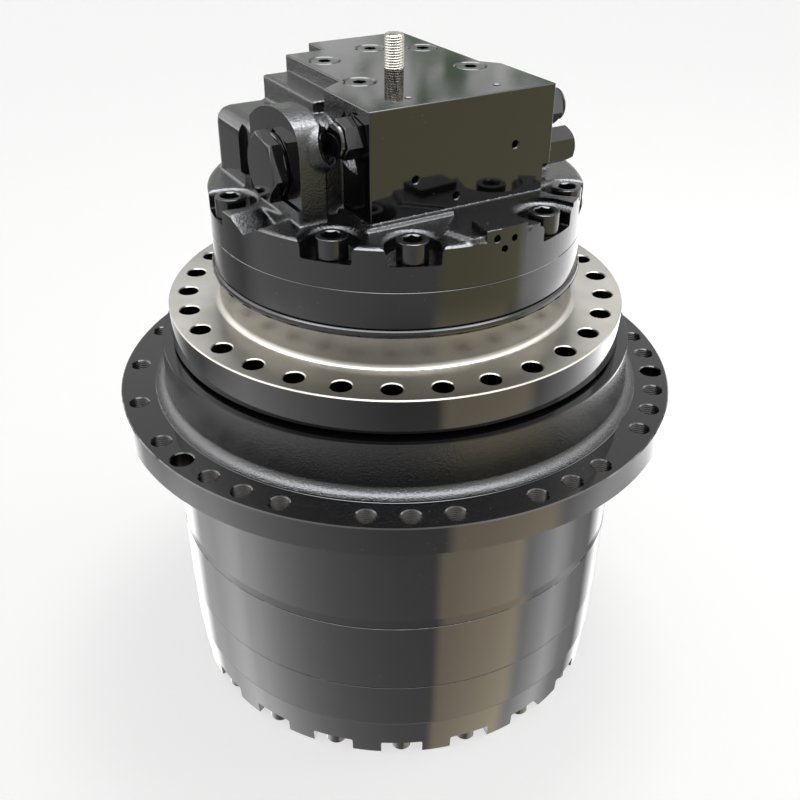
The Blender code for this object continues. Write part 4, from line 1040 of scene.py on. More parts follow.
@dataclass
class BlockFrame:
    """Frames on the valve block, which stands turned about the axis."""

    turn: float = 30.0
    foot: float = 0.594
    top: float = 0.697
    left: float = -0.094
    right: float = 0.106
    front: float = -0.118
    lug_face: float = -0.145
    right_cap: float = 0.112
    spool_along: float = -0.028
    spool_height: float = 0.039
    stud_place: Point2 = (0.002, 0.007)
    barrel_place: tuple[float, float, float] = (-0.115, -0.076, 0.658)
    barrel_axis: tuple[float, float, float] = (0.689, -0.665, 0.289)

    def upright(self, across: float = 0.0, along: float = 0.0, height: float = 0.0) -> Matrix:
        """Return a frame with Z up at a place on the block."""
        return around(self.turn) @ at(across, along, height)

    def rightward(self, across: float, along: float, height: float) -> Matrix:
        """Return a frame with Z to the block's right."""
        return self.upright(across, along, height) @ STANDING

    def leftward(self, across: float, along: float, height: float) -> Matrix:
        """Return a frame with Z to the block's left."""
        return self.rightward(across, along, height) @ Matrix.Rotation(math.pi, 4, "X")

    def forward(self, across: float, along: float, height: float) -> Matrix:
        """Return a frame with Z out of the block's front."""
        return self.upright(across, along, height) @ Matrix.Rotation(math.pi / 2, 4, "X")

    def barrel(self) -> Matrix:
        """Return a frame on the slanted barrel's end face, with Z along its axis."""
        turn = Vector(self.barrel_axis).to_track_quat("Z", "Y").to_matrix().to_4x4()
        return self.upright(*self.barrel_place) @ turn

    def spool_ends(self) -> tuple[Matrix, Matrix]:
        """Return frames on the left and right seats of the spool's caps, with Z outwards."""
        height = self.foot + self.spool_height
        left = self.leftward(self.lug_face, self.spool_along, height)
        return left, self.rightward(self.right_cap, self.spool_along, height)


BLOCK = BlockFrame()


@dataclass
class RearCover:
    """The cast cover: screw pockets, valve block, lug, slanted barrel, lobe and pad."""

    radius: float = 0.193
    foot: float = 0.5483
    top: float = 0.590
    pocket_floor: float = 0.573
    pocket_radius: float = 0.0250
    pocket_flare: float = 0.0065
    screw_circle: float = 0.176
    first_screw: float = -13.0
    screw_step: float = 24.0
    screws: tuple[int, ...] = (0, 1, 3, 4, 6, 8, 9, 10, 12)
    voxel: float = 0.0016
    relax: int = 7
    edge: float = 0.0013
    inset: float = 0.0009
    over: float = 0.0025
    sink: float = 0.012
    lug_face: float = BLOCK.lug_face
    lug_thickness: float = 0.027
    barrel_radius: float = 0.0195
    valley_turn: float = -137.0
    pad_left: float = -64.9
    pad_depth: float = 0.030
    seat_depth: float = 0.0143
    bolt_depth: float = 0.0223
    cap_depth: float = 0.0303
    spot_depth: float = 0.0006
    plug_places: tuple[Point2, ...] = field(
        default=((-0.053, -0.0235), (0.072, -0.0236), (-0.045, 0.067), (0.072, 0.068), (0.022, 0.093))
    )

    @property
    def low(self) -> float:
        """Height to which the upper masses reach down into the cover's plate."""
        return self.top - self.sink

    def screw_angles(self) -> list[float]:
        """Return the screws' angles in radians."""
        return [math.radians(self.first_screw - number * self.screw_step) for number in self.screws]

    def block(self, name: str, inset: float) -> Shape:
        """Return the valve block, drawn in from its machined faces."""
        left = BLOCK.left + inset
        right = BLOCK.right - inset
        front = BLOCK.front + inset
        plan = [
            (left, front),
            (right, front),
            (right, -0.029),
            (0.092 - inset, -0.011),
            (0.092 - inset, 0.148 - inset),
            (-0.024 + inset, 0.148 - inset),
            (-0.024 + inset, 0.111 - inset),
            (-0.068 + inset, 0.111 - inset),
            (-0.068 + inset, -0.011),
            (left, -0.029),
        ]
        return Shape.prism(name, plan, self.low, BLOCK.top - inset, BLOCK.upright())

    def ledge(self, name: str, inset: float) -> Shape:
        """Return the lower step along the block's left side, drawn in from its faces."""
        low = (-0.097 + inset, -0.012, self.low)
        high = (-0.040, 0.1085 - inset, BLOCK.top - 0.015 - inset)
        return Shape.block(name, low, high, BLOCK.upright())

    def plate(self) -> Shape:
        """Return the round plate with its softened rim."""
        rim = self.radius
        profile = [
            (0, self.top),
            (rim - 0.0030, self.top),
            (rim - 0.0010, self.top - 0.0010),
            (rim + self.over, self.top - 0.0040),
            (rim + self.over, self.foot - 0.004),
            (0, self.foot - 0.004),
        ]
        return Shape.turned("rear_cover_casting", profile)

    def lug_outline(self) -> list[Point2]:
        """Return the lug's outline, as place along the block and height."""
        front = -0.0815
        back = 0.030
        low = self.low
        return [
            (back, low),
            (front, low),
            (front, 0.654),
            (-0.0800, 0.6640),
            (-0.0772, 0.6725),
            (-0.0725, 0.6785),
            (-0.0660, 0.6822),
            (-0.0585, 0.6846),
            (-0.0490, 0.6868),
            (-0.0400, 0.6876),
            (-0.0290, 0.6872),
            (-0.0150, 0.6856),
            (0.0000, 0.6812),
            (0.0136, 0.6755),
            (back, 0.6653),
        ]

    def core_outline(self) -> list[Point2]:
        """Return the spool core's outline: a round shoulder and a falling back."""
        back = 0.045
        front = -0.065
        corner = 0.032
        top = BLOCK.foot + 0.080
        middle = (front + corner, top - corner)
        drop = 0.025
        slope = math.degrees(math.atan2(drop, back - middle[0]))
        shoulder = arc(middle, corner, 180, 90 - slope, 12)
        return [(back, self.low), (front, self.low), *shoulder, (back, top - drop)]

    def apron(self) -> Shape:
        """Return the low rough apron in front of the block and round its foot."""
        plan = [
            (-0.100, -0.124),
            (-0.006, -0.124),
            (-0.022, -0.140),
            (-0.040, -0.158),
            (-0.030, -0.190),
            (0.060, -0.190),
            (0.125, -0.160),
            (0.125, -0.060),
            (0.112, 0.100),
            (0.050, 0.150),
            (-0.100, 0.130),
        ]
        return Shape.prism("apron", plan, self.low, BLOCK.foot, BLOCK.upright())

    def blank(self) -> Shape:
        """Return the rough casting with its fillets, and the block's milled form on it."""
        upright = BLOCK.upright()
        across = BLOCK.rightward(0, 0, 0)
        face = self.lug_face
        lobe_plan = [(-0.150, 0.026), (-0.060, 0.026), (-0.060, 0.120), (-0.150, 0.120)]
        lobe = Shape.prism("lobe", lobe_plan, self.low - 0.018, BLOCK.foot + 0.062, upright)
        parts = [
            self.block("block_core", self.inset),
            self.ledge("ledge_core", self.inset),
            lobe.round_edges(0.016, 4),
            self.apron(),
            Shape.prism("core", self.core_outline(), face + 0.010, BLOCK.right_cap, across),
            Shape.prism("lug", self.lug_outline(), face - self.over, face + self.lug_thickness, across),
            Shape.rod("barrel", self.barrel_radius, -0.026, self.spot_depth, BLOCK.barrel()),
            self.right_gusset(),
        ]
        casting = self.plate().join(*parts)
        casting.cut(self.valley())
        casting.cast(self.voxel, self.relax)
        exact = [self.block("block", 0).round_edges(self.edge, 3), self.pad()]
        return casting.join(*exact)

    def right_gusset(self) -> Shape:
        """Return the ramp that runs from the block's right side down to the rim."""
        section = [
            (-0.060, self.low),
            (-0.060, self.top + 0.006),
            (-0.020, self.top + 0.022),
            (0.060, self.top + 0.022),
            (0.070, self.low),
        ]
        return Shape.prism("right_gusset", section, 0.100, 0.150, BLOCK.rightward(0, 0, 0))

    def valley(self) -> Shape:
        """Return the cutter of the valley that falls from the lug's foot to the rim."""
        section = [(-0.031, self.top + 0.004), (0.0, 0.5765), (0.029, self.top + 0.004)]
        return Shape.prism("valley", section, 0.155, 0.205, around(self.valley_turn) @ STANDING)

    def pad(self) -> Shape:
        """Return the flat-faced pad that stands up from the rim between two pockets."""
        outline = [
            (-0.0004, self.foot),
            (0.0330, self.foot),
            (0.0445, 0.5610),
            (0.0445, 0.5996),
            (-0.0004, 0.5994),
        ]
        place = around(self.pad_left) @ STANDING
        pad = Shape.prism("pad", outline, self.radius - self.pad_depth, self.radius, place)
        return pad.round_edges(0.0014, 3)

    def machined(self) -> list[Shape]:
        """Return the cutters of the milled and turned faces of the casting."""
        deep = 0.05
        upright = BLOCK.upright()
        face = self.lug_face
        out = self.radius + deep
        wall = [(out, 0.5998), (out, 0.53), (self.radius, 0.53), (self.radius, 0.5998)]
        return [
            Shape.block("lug", (face - deep, -0.1, BLOCK.foot + 0.010), (face, 0.05, 0.72), upright),
            Shape.turned("rim", wall),
            Shape.rod("joint", 0.25, 0.50, self.foot),
        ]

    def pockets(self) -> list[Shape]:
        """Return the cutters of the screw pockets, each open through the wall."""
        floor = self.pocket_floor
        radius = self.pocket_radius
        flare = self.pocket_flare
        lip = self.top + 0.0003
        reach = self.screw_circle + 0.05
        side = [
            (radius - 0.0020, floor),
            (radius - 0.0006, floor + 0.0006),
            (radius, floor + 0.0020),
            *arc((radius + flare, lip - flare), flare, 180, 90, 7),
            (radius + flare, lip + 0.030),
        ]
        mouth = side + [(-x, z) for x, z in reversed(side)]
        trumpet = [(0, lip + 0.030), *reversed(side), (0, floor)]
        cutters = []
        for angle in self.screw_angles():
            turn = Matrix.Rotation(angle, 4, "Z")
            pocket = Shape.turned("pocket", trumpet, 64, turn @ at(self.screw_circle, 0))
            pocket.join(Shape.prism("mouth", mouth, self.screw_circle, reach, turn @ STANDING))
            cutters.append(pocket)
        return cutters

    def small_holes(self) -> list[Matrix]:
        """Return the mouths of the small threaded holes in the block and the pad."""
        places = [
            BLOCK.upright(-0.042, -0.095, BLOCK.top),
            BLOCK.upright(0.053, -0.096, BLOCK.top),
            BLOCK.forward(-0.047, BLOCK.front, 0.629),
            BLOCK.forward(0.063, BLOCK.front, 0.645),
            BLOCK.forward(-0.002, BLOCK.front, 0.606),
        ]
        outward = Matrix.Rotation(math.pi / 2, 4, "Y")
        for along, height in ((0.0108, 0.5904), (0.0295, 0.5880), (0.0192, 0.5795)):
            places.append(around(self.pad_left) @ at(self.radius, along, height) @ outward)
        return places

    def bores(self) -> list[Shape]:
        """Return the cutters of the plug seats, small threaded holes and ports."""
        barrel = BLOCK.barrel()
        stud = BLOCK.upright(*BLOCK.stud_place, BLOCK.top)
        cutters = [
            Shape.rod("stud_seat", 0.0103, -self.bolt_depth, SLACK, stud),
            Shape.rod("barrel_face", 0.030, 0.0, 0.02, barrel),
            Shape.rod("barrel_bore", 0.0153, -self.seat_depth, SLACK, barrel),
        ]
        for across, along in self.plug_places:
            place = BLOCK.upright(across, along, BLOCK.top)
            cutters.append(counterbore("seat", 0.0156, 0.0016, self.seat_depth, place))
        for place in self.small_holes():
            cutters.append(counterbore("hole", 0.0034, 0.0010, 0.014, place, HOLE_SEGMENTS, 0.001))
        for across in (0.008, 0.060):
            place = BLOCK.upright(across, 0.148, BLOCK.foot + 0.040) @ Matrix.Rotation(-math.pi / 2, 4, "X")
            cutters.append(counterbore("port", 0.0125, 0.0020, 0.030, place))
        left, right = BLOCK.spool_ends()
        cutters.append(Shape.rod("spot", 0.0345, -self.spot_depth, SLACK, left))
        for place in (left, right):
            cutters.append(Shape.rod("cap_bore", 0.0223, -self.cap_depth, SLACK, place))
        for place in SideValves().places():
            cutters.append(Shape.rod("side_bore", 0.0113, -self.bolt_depth, SLACK, place))
            cutters.append(Shape.rod("side_spot", 0.0215, -self.spot_depth, SLACK, place))
        return cutters

    def zone(self, centre: Vector, normal: Vector) -> int:
        """Return 0 on machined faces and 1 on the rough casting."""
        local = BLOCK.upright().inverted()
        spot = local @ centre
        way = local.to_3x3() @ normal
        edge = self.edge + 0.0002
        above = spot.z > BLOCK.foot + 0.003
        inside = BLOCK.left - 0.0002 < spot.x and BLOCK.front - 0.0002 < spot.y
        skin = (
            spot.z > BLOCK.top - edge
            or spot.y < BLOCK.front + edge
            or (spot.x < BLOCK.left + edge and spot.y < -0.066)
            or BLOCK.right - edge < spot.x < BLOCK.right + 0.0002
        )
        on_lug = spot.x < self.lug_face + 0.0008 and way.x < -0.9
        on_rim = math.hypot(centre.x, centre.y) > self.radius - 0.0005
        in_pocket = centre.z < self.pocket_floor + 0.0025 and way.z > 0.9
        return 0 if (above and inside and skin) or on_lug or on_rim or in_pocket else 1

    def build(self) -> None:
        """Cast, machine and dress the cover."""
        cover = self.blank()
        cover.cut(*self.machined())
        cover.cut(*self.pockets())
        cover.cut(*self.bores())
        cover.finish(
            Body.FRAME_SIDE,
            Slot.ENAMEL,
            (MACHINED_ENAMEL, CAST_ENAMEL),
            ("rear_cover",),
            self.zone,
            40,
        )


@dataclass
class SideValves:
    """Cartridges and plugs screwed into the sides of the block."""

    along: float = -0.093
    relief_height: float = 0.075
    pilot_height: float = 0.033
    shank_radius: float = 0.011
    shank_length: float = 0.022
    flats: float = 0.032
    cap_flats: float = 0.058
    cap_shank_radius: float = 0.022
    cap_shank_length: float = 0.030

    def places(self) -> list[Matrix]:
        """Return the seats of the left and right relief valves and the pilot plug."""
        return [
            BLOCK.leftward(BLOCK.left, self.along, BLOCK.foot + self.relief_height),
            BLOCK.rightward(BLOCK.right, self.along, BLOCK.foot + self.relief_height),
            BLOCK.rightward(BLOCK.right, self.along, BLOCK.foot + self.pilot_height),
        ]

    @staticmethod
    def hex_head(name: str, flats: float, low: float, high: float, chamfer: float, turn: float) -> Shape:
        """Make a hexagon with its corners turned off at the outer end.

        Args:
            name: The piece's name.
            flats: Width across flats.
            low: Height of the foot.
            high: Height of the outer face.
            chamfer: How far the corners are turned off.
            turn: Turn of the first corner in degrees.

        Returns:
            The head.
        """
        head = Shape.prism(name, hexagon(flats, turn), low, high)
        corner = flats / math.sqrt(3) + 0.0004
        flat = flats / 2
        turned = [(0, high), (flat - 0.0004, high), (corner, high - chamfer), (corner, low), (0, low)]
        return head.combine([Shape.turned("turned", turned, 96)], "INTERSECT")

    @staticmethod
    def collar(radius: float, high: float, edge: float) -> Shape:
        """Return the round collar under a hexagon, its outer edge turned off."""
        section = [(0, high), (radius - edge, high), (radius, high - edge), (radius, GAP), (0, GAP)]
        return Shape.turned("collar", section, ROUND_SEGMENTS)

    def relief(self, name: str, place: Matrix, turn: float) -> None:
        """Build one relief valve on its seat, its hexagon turned by some degrees."""
        valve = self.hex_head(f"{name}_cartridge", self.flats, GAP, 0.0183, 0.0020, turn)
        shank = Shape.rod("shank", self.shank_radius, -self.shank_length, 0.004)
        cap = Shape.turned(
            "cap",
            [
                (0, 0.0223),
                (0.0146, 0.0223),
                (0.0155, 0.0214),
                (0.0155, 0.0196),
                (0.0140, 0.0189),
                (0.0140, 0.0100),
                (0, 0.0100),
            ],
            ROUND_SEGMENTS,
        )
        valve.join(shank, cap)
        valve.obj.data.transform(place)
        valve.finish(Body.FRAME_SIDE, Slot.ENAMEL, (MACHINED_ENAMEL,), (name,))

    def pilot(self, place: Matrix) -> None:
        """Build the pilot plug on its seat."""
        plug = self.hex_head("pilot_plug_cartridge", self.flats, 0.004, 0.038, 0.0025, 29)
        shank = Shape.rod("shank", self.shank_radius, -self.shank_length, 0.006)
        plug.join(shank, self.collar(0.0195, 0.0063, 0.0009))
        plug.obj.data.transform(place)
        plug.finish(Body.FRAME_SIDE, Slot.ENAMEL, (MACHINED_ENAMEL,), ("pilot_plug",))

    def spool_cap(self, name: str, place: Matrix, turn: float) -> None:
        """Build a large hexagon cap over one end of the spool, turned by some degrees."""
        cap = self.hex_head(f"{name}_hexagon", self.cap_flats, 0.0025, 0.0163, 0.0034, turn)
        shank = Shape.rod("shank", self.cap_shank_radius, -self.cap_shank_length, 0.006)
        cap.join(shank, self.collar(0.0300, 0.0033, 0.0008))
        cap.obj.data.transform(place)
        cap.finish(Body.FRAME_SIDE, Slot.OXIDE, (MACHINED_ENAMEL,), (name,))

    def build(self) -> None:
        """Build all the side fittings."""
        left, right, pilot = self.places()
        self.relief("relief_valve_left", left, 48)
        self.relief("relief_valve_right", right, 12)
        self.pilot(pilot)
        left_end, right_end = BLOCK.spool_ends()
        self.spool_cap("spool_cap_left", left_end, 51)
        self.spool_cap("spool_cap_right", right_end, 9)


@dataclass
class SocketFasteners:
    """Cap screws in the cover's pockets and flush socket plugs in the block."""

    cover: RearCover = field(default_factory=RearCover)
    head_radius: float = 0.015
    head_height: float = 0.020
    shank_radius: float = 0.010
    shank_length: float = 0.055
    socket_flats: float = 0.017
    socket_depth: float = 0.010
    plug_radius: float = 0.015
    plug_depth: float = 0.014
    plug_flats: float = 0.012
    barrel_flats: float = 0.014

    def screw(self, name: str, place: Matrix) -> None:
        """Build one cap screw with its head at a place on a pocket's floor."""
        top = self.head_height
        profile = [
            (0, top),
            (self.head_radius - 0.0014, top),
            (self.head_radius - 0.0004, top - 0.0005),
            (self.head_radius, top - 0.0016),
            (self.head_radius, 0.0010),
            (self.head_radius - 0.0007, GAP),
            (self.shank_radius, GAP),
            (self.shank_radius, -self.shank_length),
            (0, -self.shank_length),
        ]
        screw = Shape.turned(f"{name}_socket_head", profile, HEAD_SEGMENTS)
        socket = Shape.prism("socket", hexagon(self.socket_flats), top - self.socket_depth, top + SLACK)
        lead = Shape.turned(
            "lead",
            [(0, top + SLACK), (0.0105 + SLACK, top + SLACK), (0.0086, top - 0.0012), (0, top - 0.0012)],
            24,
        )
        screw.cut(socket, lead)
        screw.obj.data.transform(place)
        screw.finish(Body.FRAME_SIDE, Slot.OXIDE, (OXIDE_ENAMEL,), (name,))

    def plug(self, name: str, place: Matrix, flats: float) -> None:
        """Build one socket plug, its face at the place.

        Args:
            name: The CAD node that it stands for.
            place: Frame on the plug's face.
            flats: The socket's width across flats.
        """
        radius = self.plug_radius
        profile = [
            (0, -0.0002),
            (radius - 0.0016, -0.0002),
            (radius, -0.0016),
            (radius, -self.plug_depth),
            (0, -self.plug_depth),
        ]
        plug = Shape.turned(f"{name}_socket_plug", profile, HEAD_SEGMENTS)
        plug.cut(Shape.prism("socket", hexagon(flats), -0.0085, SLACK))
        plug.obj.data.transform(place)
        plug.finish(Body.FRAME_SIDE, Slot.OXIDE, (OXIDE_ENAMEL,), (name,))

    def build(self) -> None:
        """Set all the screws and plugs."""
        for number, angle in enumerate(self.cover.screw_angles(), start=1):
            spot = polar(self.cover.screw_circle, angle)
            turn = Matrix.Rotation(angle * 3.7 + number, 4, "Z")
            self.screw(f"rear_cover_screw_{number}", at(*spot, self.cover.pocket_floor) @ turn)
        for number, (across, along) in enumerate(self.cover.plug_places, start=1):
            turn = Matrix.Rotation(number * 1.3, 4, "Z")
            place = BLOCK.upright(across, along, BLOCK.top) @ turn
            self.plug(f"port_plug_{number}", place, self.plug_flats)
        self.plug("barrel_plug", BLOCK.barrel(), self.barrel_flats)


@dataclass
class LiftingStud:
    """The bare threaded stud in the middle of the block."""

    radius: float = 0.010
    pitch: float = 0.0025
    depth: float = 0.0012
    low: float = 0.675
    high: float = 0.730
    steps: int = 36
    rows_per_turn: int = 8

    def build(self) -> None:
        """Build the stud with a true helical thread."""
        shell = bmesh.new()
        rows = int((self.high - self.low) / self.pitch * self.rows_per_turn)
        rings = []
        for row in range(rows + 1):
            height = self.low + (self.high - self.low) * row / rows
            ring = []
            for step in range(self.steps):
                share = step / self.steps
                phase = ((height - self.low) / self.pitch - share) % 1
                flank = abs(phase - 0.5) * 2
                radius = self.radius - self.depth * min(1.0, max(0.0, (flank - 0.1) / 0.8))
                radius -= max(0.0, height - self.high + 0.0018) * 0.8
                x, y = polar(radius, share * FULL_TURN)
                ring.append(shell.verts.new((x, y, height)))
            rings.append(ring)
        for lower, upper in zip(rings, rings[1:]):
            for step in range(self.steps):
                after = (step + 1) % self.steps
                shell.faces.new((lower[step], lower[after], upper[after], upper[step]))
        shell.faces.new(rings[-1])
        shell.faces.new(list(reversed(rings[0])))
        shell.transform(BLOCK.upright(*BLOCK.stud_place))
        stud = Shape.from_shell("lifting_stud_thread", shell)
        stud.finish(Body.FRAME_SIDE, Slot.ZINC, (ZINC_PLATE,), ("lifting_stud",), sharp=60)


# Finishes of the CAD pieces that stay as they are, by a word in their names
CAD_FINISHES = {
    "gear": HARDENED_STEEL,
    "pin": HARDENED_STEEL,
    "carrier": HARDENED_STEEL,
    "shaft": HARDENED_STEEL,
    "cylinder": HARDENED_STEEL,
    "race": GROUND_STEEL,
    "rollers": GROUND_STEEL,
    "spool": GROUND_STEEL,
    "nut": HARDENED_STEEL,
    "seal": OXIDE_ENAMEL,
    "oil": MACHINED_ENAMEL,
    "plate": BRONZE,
}


class InnerWorks:
    """The CAD pieces that keep their shape: gears, bearings, seals and motor."""

    def build(self) -> None:
        """Give each CAD node the finish of the first word that its name holds."""
        for name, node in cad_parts.items():
            finish = next((item for word, item in CAD_FINISHES.items() if word in name), None)
            if finish:
                for slot in node.material_slots:
                    slot.material = finish.material()
                LOG.info("%s: %s", name, finish.name)


# Tints of the painted reflection that the floor glows with for the enamel: sunlit ground and grass beyond
# it
SUNLIT = "#fff0d2"
OLIVE = "#fff8c8"


@dataclass(frozen=True)
class Tone:
    """A mirrored tone: degrees to the right of the front, radiance and tint."""

    degrees: float
    radiance: float
    tint: str = WHITE

    @property
    def position(self) -> float:
        """Place on a radial gradient, which has the front at a quarter and its ends at the left."""
        return (self.degrees / 360 + 0.25) % 1.0


def palette(*items: tuple) -> tuple[Tone, ...]:
    """Return tones, each given as degrees, radiance and a tint where it isn't white."""
    return tuple(Tone(*item) for item in items)


# Painted reflection of the floor near the object, farther out and beyond, with painted sunlit and shaded
# stretches, and the sky low down and at middle height.
# Where a gradient's ends have to meet, a tone stands on each side of the left, at -90 degrees.
NEAR_FLOOR_PAINTED_REFLECTION = palette(
    (-160, 1.4), (-144, 3.6), (-128, 1.25), (-112, 1.7), (-96, 3.0), (-80, 2.8), (-64, 2.1),
    (-48, 1.55), (-32, 1.2), (-16, 1.0), (0, 0.83), (21, 0.73), (26, 2.1, SUNLIT), (48, 2.6, SUNLIT),
    (68, 2.9, SUNLIT), (76, 1.6), (96, 2.4), (112, 0.85), (128, 0.42), (144, 2.4), (160, 0.9),
)
FAR_FLOOR_PAINTED_REFLECTION = palette(
    (-160, 1.2), (-144, 1.0), (-128, 0.34), (-112, 0.35), (-96, 1.0), (-90.1, 1.35), (-89.9, 1.35),
    (-80, 1.9), (-64, 1.75), (-48, 1.4), (-32, 1.1), (-16, 0.8), (0, 0.55), (21, 0.55),
    (26, 2.1, SUNLIT), (68, 2.1, SUNLIT), (76, 0.9), (96, 1.6), (112, 3.1), (128, 5.0), (144, 4.1),
    (160, 2.6),
)
BEYOND_FLOOR_PAINTED_REFLECTION = palette(
    (-150, 0.9), (-135, 0.4), (-108, 0.4), (-90.1, 1.1), (-89.9, 1.1), (-60, 1.3), (0, 0.9),
    (24, 0.9), (30, 1.2, OLIVE), (78, 1.2, OLIVE), (86, 2.0), (140, 2.6),
)
LOW_SKY = palette(
    (-150, 1.15), (-115, 6.2), (-90.1, 6.4), (-89.9, 6.4), (-50, 2.6), (0, 1.6), (25, 2.0),
    (45, 3.4), (72, 3.4), (100, 2.2), (130, 2.2), (155, 1.8), (179, 1.0),
)
MIDDLE_SKY = palette(
    (-150, 0.95), (-120, 5.2), (-90.1, 6.5), (-89.9, 6.5), (-50, 3.0), (0, 2.0), (25, 2.6),
    (45, 4.0), (95, 4.0), (120, 2.4), (150, 0.95), (179, 0.95),
)


@dataclass
class Yard:
    """Pale floor, soft light, and the tones that the enamel mirrors, which the floor paints as a glow that
    only mirrored rays see.

    Radiances become shares of the brightest one, because a colour ramp ends at 1.
    """

    half_size: float = 9.0
    floor_top: float = -0.0002
    floor_foot: float = -0.02
    floor_colour: str = "#f4f3f1"
    sky: float = 0.62
    brightest: float = 8.0
    veil: float = 0.65
    near_to_far: Point2 = (0.55, 0.95)
    far_to_beyond: Point2 = (1.10, 1.25)
    low_to_middle: Point2 = (0.34, 0.48)
    middle_to_zenith: Point2 = (0.80, 0.92)
    zenith: Tone = Tone(0, 17.0, "#f6f9ff")
    crowns: Tone = Tone(0, 0.36, "#bcd8b4")
    leaves: float = 26.0

    def radiant(self, tone: Tone) -> Colour:
        """Return a tone's colour as a share of the brightest one."""
        red, green, blue, _ = to_linear(tone.tint)
        share = tone.radiance / self.brightest
        return red * share, green * share, blue * share, 1.0

    def glossy_share(self, board: Board) -> Socket:
        """Return 1 for rays that mirror or pass the surroundings, and 0 for others."""
        path = board.add("ShaderNodeLightPath").outputs
        return board.calculate("MAXIMUM", path["Is Glossy Ray"], path["Is Transmission Ray"])

    def tones(self, board: Board, heading: Socket, stops: Sequence[Tone]) -> Socket:
        """Return tones by compass direction.

        Args:
            board: The nodes of the floor or the world.
            heading: Direction of the mirrored ray.
            stops: The tones.

        Returns:
            The colour.
        """
        turn = board.add("ShaderNodeTexGradient", {"Vector": heading}, gradient_type="RADIAL")
        ramp = board.add("ShaderNodeValToRGB", {"Fac": turn.outputs["Fac"]})
        placed = sorted(stops, key=lambda tone: tone.position)
        elements = ramp.color_ramp.elements
        while len(elements) < len(placed):
            elements.new(0.5)
        # A ramp sorts its elements when one moves, so all are placed before any gets its colour
        for element, tone in zip(elements, placed):
            element.position = tone.position
        for element, tone in zip(elements, placed):
            element.color = self.radiant(tone)
        return ramp.outputs["Color"]

    def painted_floor_reflection(self, board: Board) -> Socket:
        """Return the painted reflection of the ground: a glow by direction and distance from the object,
        with painted sunlit and shaded stretches.
        """
        place = board.add("ShaderNodeTexCoord").outputs["Object"]
        radius = board.add("ShaderNodeVectorMath", {0: place}, operation="LENGTH").outputs["Value"]
        incoming = board.add("ShaderNodeNewGeometry").outputs["Incoming"]
        away = board.add("ShaderNodeVectorMath", {0: incoming, 1: (-1, -1, -1)}, operation="MULTIPLY")
        heading = away.outputs["Vector"]
        near = self.tones(board, heading, NEAR_FLOOR_PAINTED_REFLECTION)
        far = self.tones(board, heading, FAR_FLOOR_PAINTED_REFLECTION)
        beyond = self.tones(board, heading, BEYOND_FLOOR_PAINTED_REFLECTION)
        close = board.mix(board.remap(radius, self.near_to_far), near, far)
        return board.mix(board.remap(radius, self.far_to_beyond), close, beyond)

    def floor(self) -> None:
        """Lay a pale concrete floor that keeps the object's shadow, and that glows with a painted
        reflection for mirrored rays.
        """
        half = self.half_size
        obj = Shape.block("floor", (-half, -half, self.floor_foot), (half, half, self.floor_top)).obj
        bpy.context.scene.collection.objects.link(obj)
        material = bpy.data.materials.new("pale_concrete_floor")
        material.use_nodes = True
        tree = material.node_tree
        shader = tree.nodes["Principled BSDF"]
        shader.inputs["Base Color"].default_value = to_linear(self.floor_colour)
        shader.inputs["Roughness"].default_value = 0.9
        board = Board(tree)
        # Painted reflection: for mirrored rays the floor glows with sunlit and shaded tones, though it is
        # no lamp
        glow = {"Color": self.painted_floor_reflection(board), "Strength": self.brightest}
        mirror = board.add("ShaderNodeEmission", glow).outputs["Emission"]
        white = board.add("ShaderNodeEmission", {"Strength": 1.0}).outputs["Emission"]
        camera = board.add("ShaderNodeLightPath").outputs["Is Camera Ray"]
        veil = board.calculate("MULTIPLY", camera, self.veil)
        seen = board.mix_shaders(veil, shader.outputs["BSDF"], white)
        surface = board.mix_shaders(self.glossy_share(board), seen, mirror)
        board.link(surface, tree.nodes["Material Output"], "Surface")
        obj.data.materials.append(material)

    def mirrored_sky(self, board: Board, direction: Socket) -> Socket:
        """Return the sky that the enamel mirrors: even above, with tree tops low down.

        Args:
            board: The world's nodes.
            direction: Direction of the mirrored ray.

        Returns:
            The colour.
        """
        pattern = {"Vector": direction, "Scale": self.leaves, "Detail": 4.0, "Roughness": 0.6}
        leaves = board.add("ShaderNodeTexNoise", pattern).outputs["Fac"]
        low = self.tones(board, direction, LOW_SKY)
        low = board.mix(board.remap(leaves, (0.44, 0.60)), low, self.radiant(self.crowns))
        middle = self.tones(board, direction, MIDDLE_SKY)
        height = board.add("ShaderNodeSeparateXYZ", {"Vector": direction}).outputs["Z"]
        lower = board.mix(board.remap(height, self.low_to_middle), low, middle)
        return board.mix(board.remap(height, self.middle_to_zenith), lower, self.radiant(self.zenith))

    def world(self) -> None:
        """Set a soft overcast sky: white to the camera, toned to the mirror of the enamel."""
        world = bpy.data.worlds.new("overcast_sky")
        bpy.context.scene.world = world
        world.use_nodes = True
        tree = world.node_tree
        plain = tree.nodes["Background"]
        plain.inputs["Color"].default_value = to_linear(WHITE)
        plain.inputs["Strength"].default_value = self.sky
        board = Board(tree)
        direction = board.add("ShaderNodeTexCoord").outputs["Generated"]
        glow = {"Color": self.mirrored_sky(board, direction), "Strength": self.brightest}
        mirrored = board.add("ShaderNodeBackground", glow).outputs["Background"]
        white = board.add("ShaderNodeBackground", {"Color": to_linear(WHITE)}).outputs["Background"]
        lit = board.mix_shaders(self.glossy_share(board), plain.outputs["Background"], mirrored)
        camera = board.add("ShaderNodeLightPath").outputs["Is Camera Ray"]
        surface = board.mix_shaders(camera, lit, white)
        board.link(surface, tree.nodes["World Output"], "Surface")

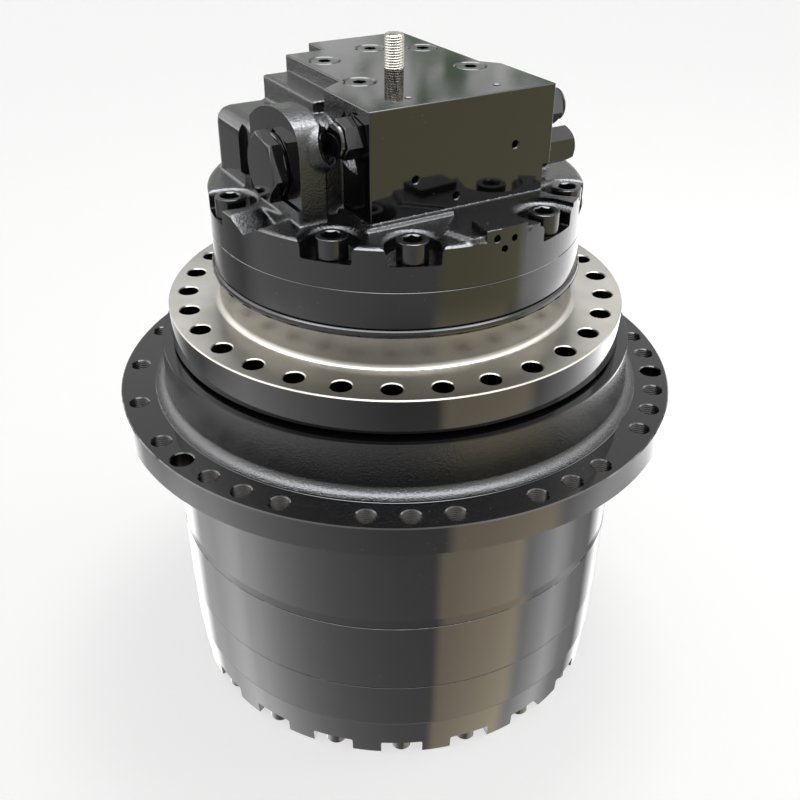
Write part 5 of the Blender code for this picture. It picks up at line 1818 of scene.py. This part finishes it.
    def lamp(self, name: str, place: Sequence[float], size: float, watts: float) -> None:
        """Hang a square soft box that points at the object's middle.

        Args:
            name: The lamp's name.
            place: Where it hangs.
            size: Its edge length.
            watts: Its power.
        """
        light = bpy.data.lights.new(name, "AREA")
        light.shape = "SQUARE"
        light.size = size
        light.energy = watts
        obj = bpy.data.objects.new(name, light)
        obj.location = place
        aim = Vector((0, 0, 0.4)) - Vector(place)
        obj.rotation_euler = aim.to_track_quat("-Z", "Y").to_euler()
        bpy.context.scene.collection.objects.link(obj)

    def build(self) -> None:
        """Set floor, sky and lamps."""
        self.floor()
        self.world()
        self.lamp("soft_box_above", (0.3, 0.5, 2.6), 0.8, 26)
        self.lamp("soft_box_right", (2.2, 0.4, 1.6), 1.2, 14)


@dataclass
class PhotoCamera:
    """The camera at the photograph's viewing angle."""

    place: tuple[float, float, float] = (0.0, -0.99739, 0.93711)
    pitch: float = 31.805
    yaw: float = 0.0222
    roll: float = 0.1806
    lens: float = 44.705
    shift: Point2 = (0.005875, -0.00325)

    def build(self) -> None:
        """Create the camera and make it the scene's own."""
        data = bpy.data.cameras.new("photo_camera")
        data.sensor_width = 36.0
        data.lens = self.lens
        data.shift_x, data.shift_y = self.shift
        data.clip_start = 0.01
        camera = bpy.data.objects.new("photo_camera", data)
        pitch = math.radians(self.pitch)
        yaw = math.radians(self.yaw)
        roll = math.radians(self.roll)
        look = Vector((math.sin(yaw) * math.cos(pitch), math.cos(yaw) * math.cos(pitch), -math.sin(pitch)))
        side = Vector((math.cos(yaw), -math.sin(yaw), 0))
        above = side.cross(look)
        right = side * math.cos(roll) + above * math.sin(roll)
        up = above * math.cos(roll) - side * math.sin(roll)
        turn = Matrix((right, up, -look)).transposed().to_4x4()
        camera.matrix_world = Matrix.Translation(self.place) @ turn
        bpy.context.scene.collection.objects.link(camera)
        bpy.context.scene.camera = camera


def main() -> None:
    """Build the scene in order and report each piece."""
    logging.basicConfig(level=logging.INFO, format="%(name)s: %(message)s")
    PhotoCamera().build()
    InnerWorks().build()
    SprocketHub().build()
    DrumRings().build()
    EndCover().build()
    MotorCase().build()
    RearCover().build()
    SideValves().build()
    SocketFasteners().build()
    LiftingStud().build()
    Yard().build()
    scene = bpy.context.scene
    scene.view_settings.view_transform = "Standard"


if __name__ == "__main__":
    main()
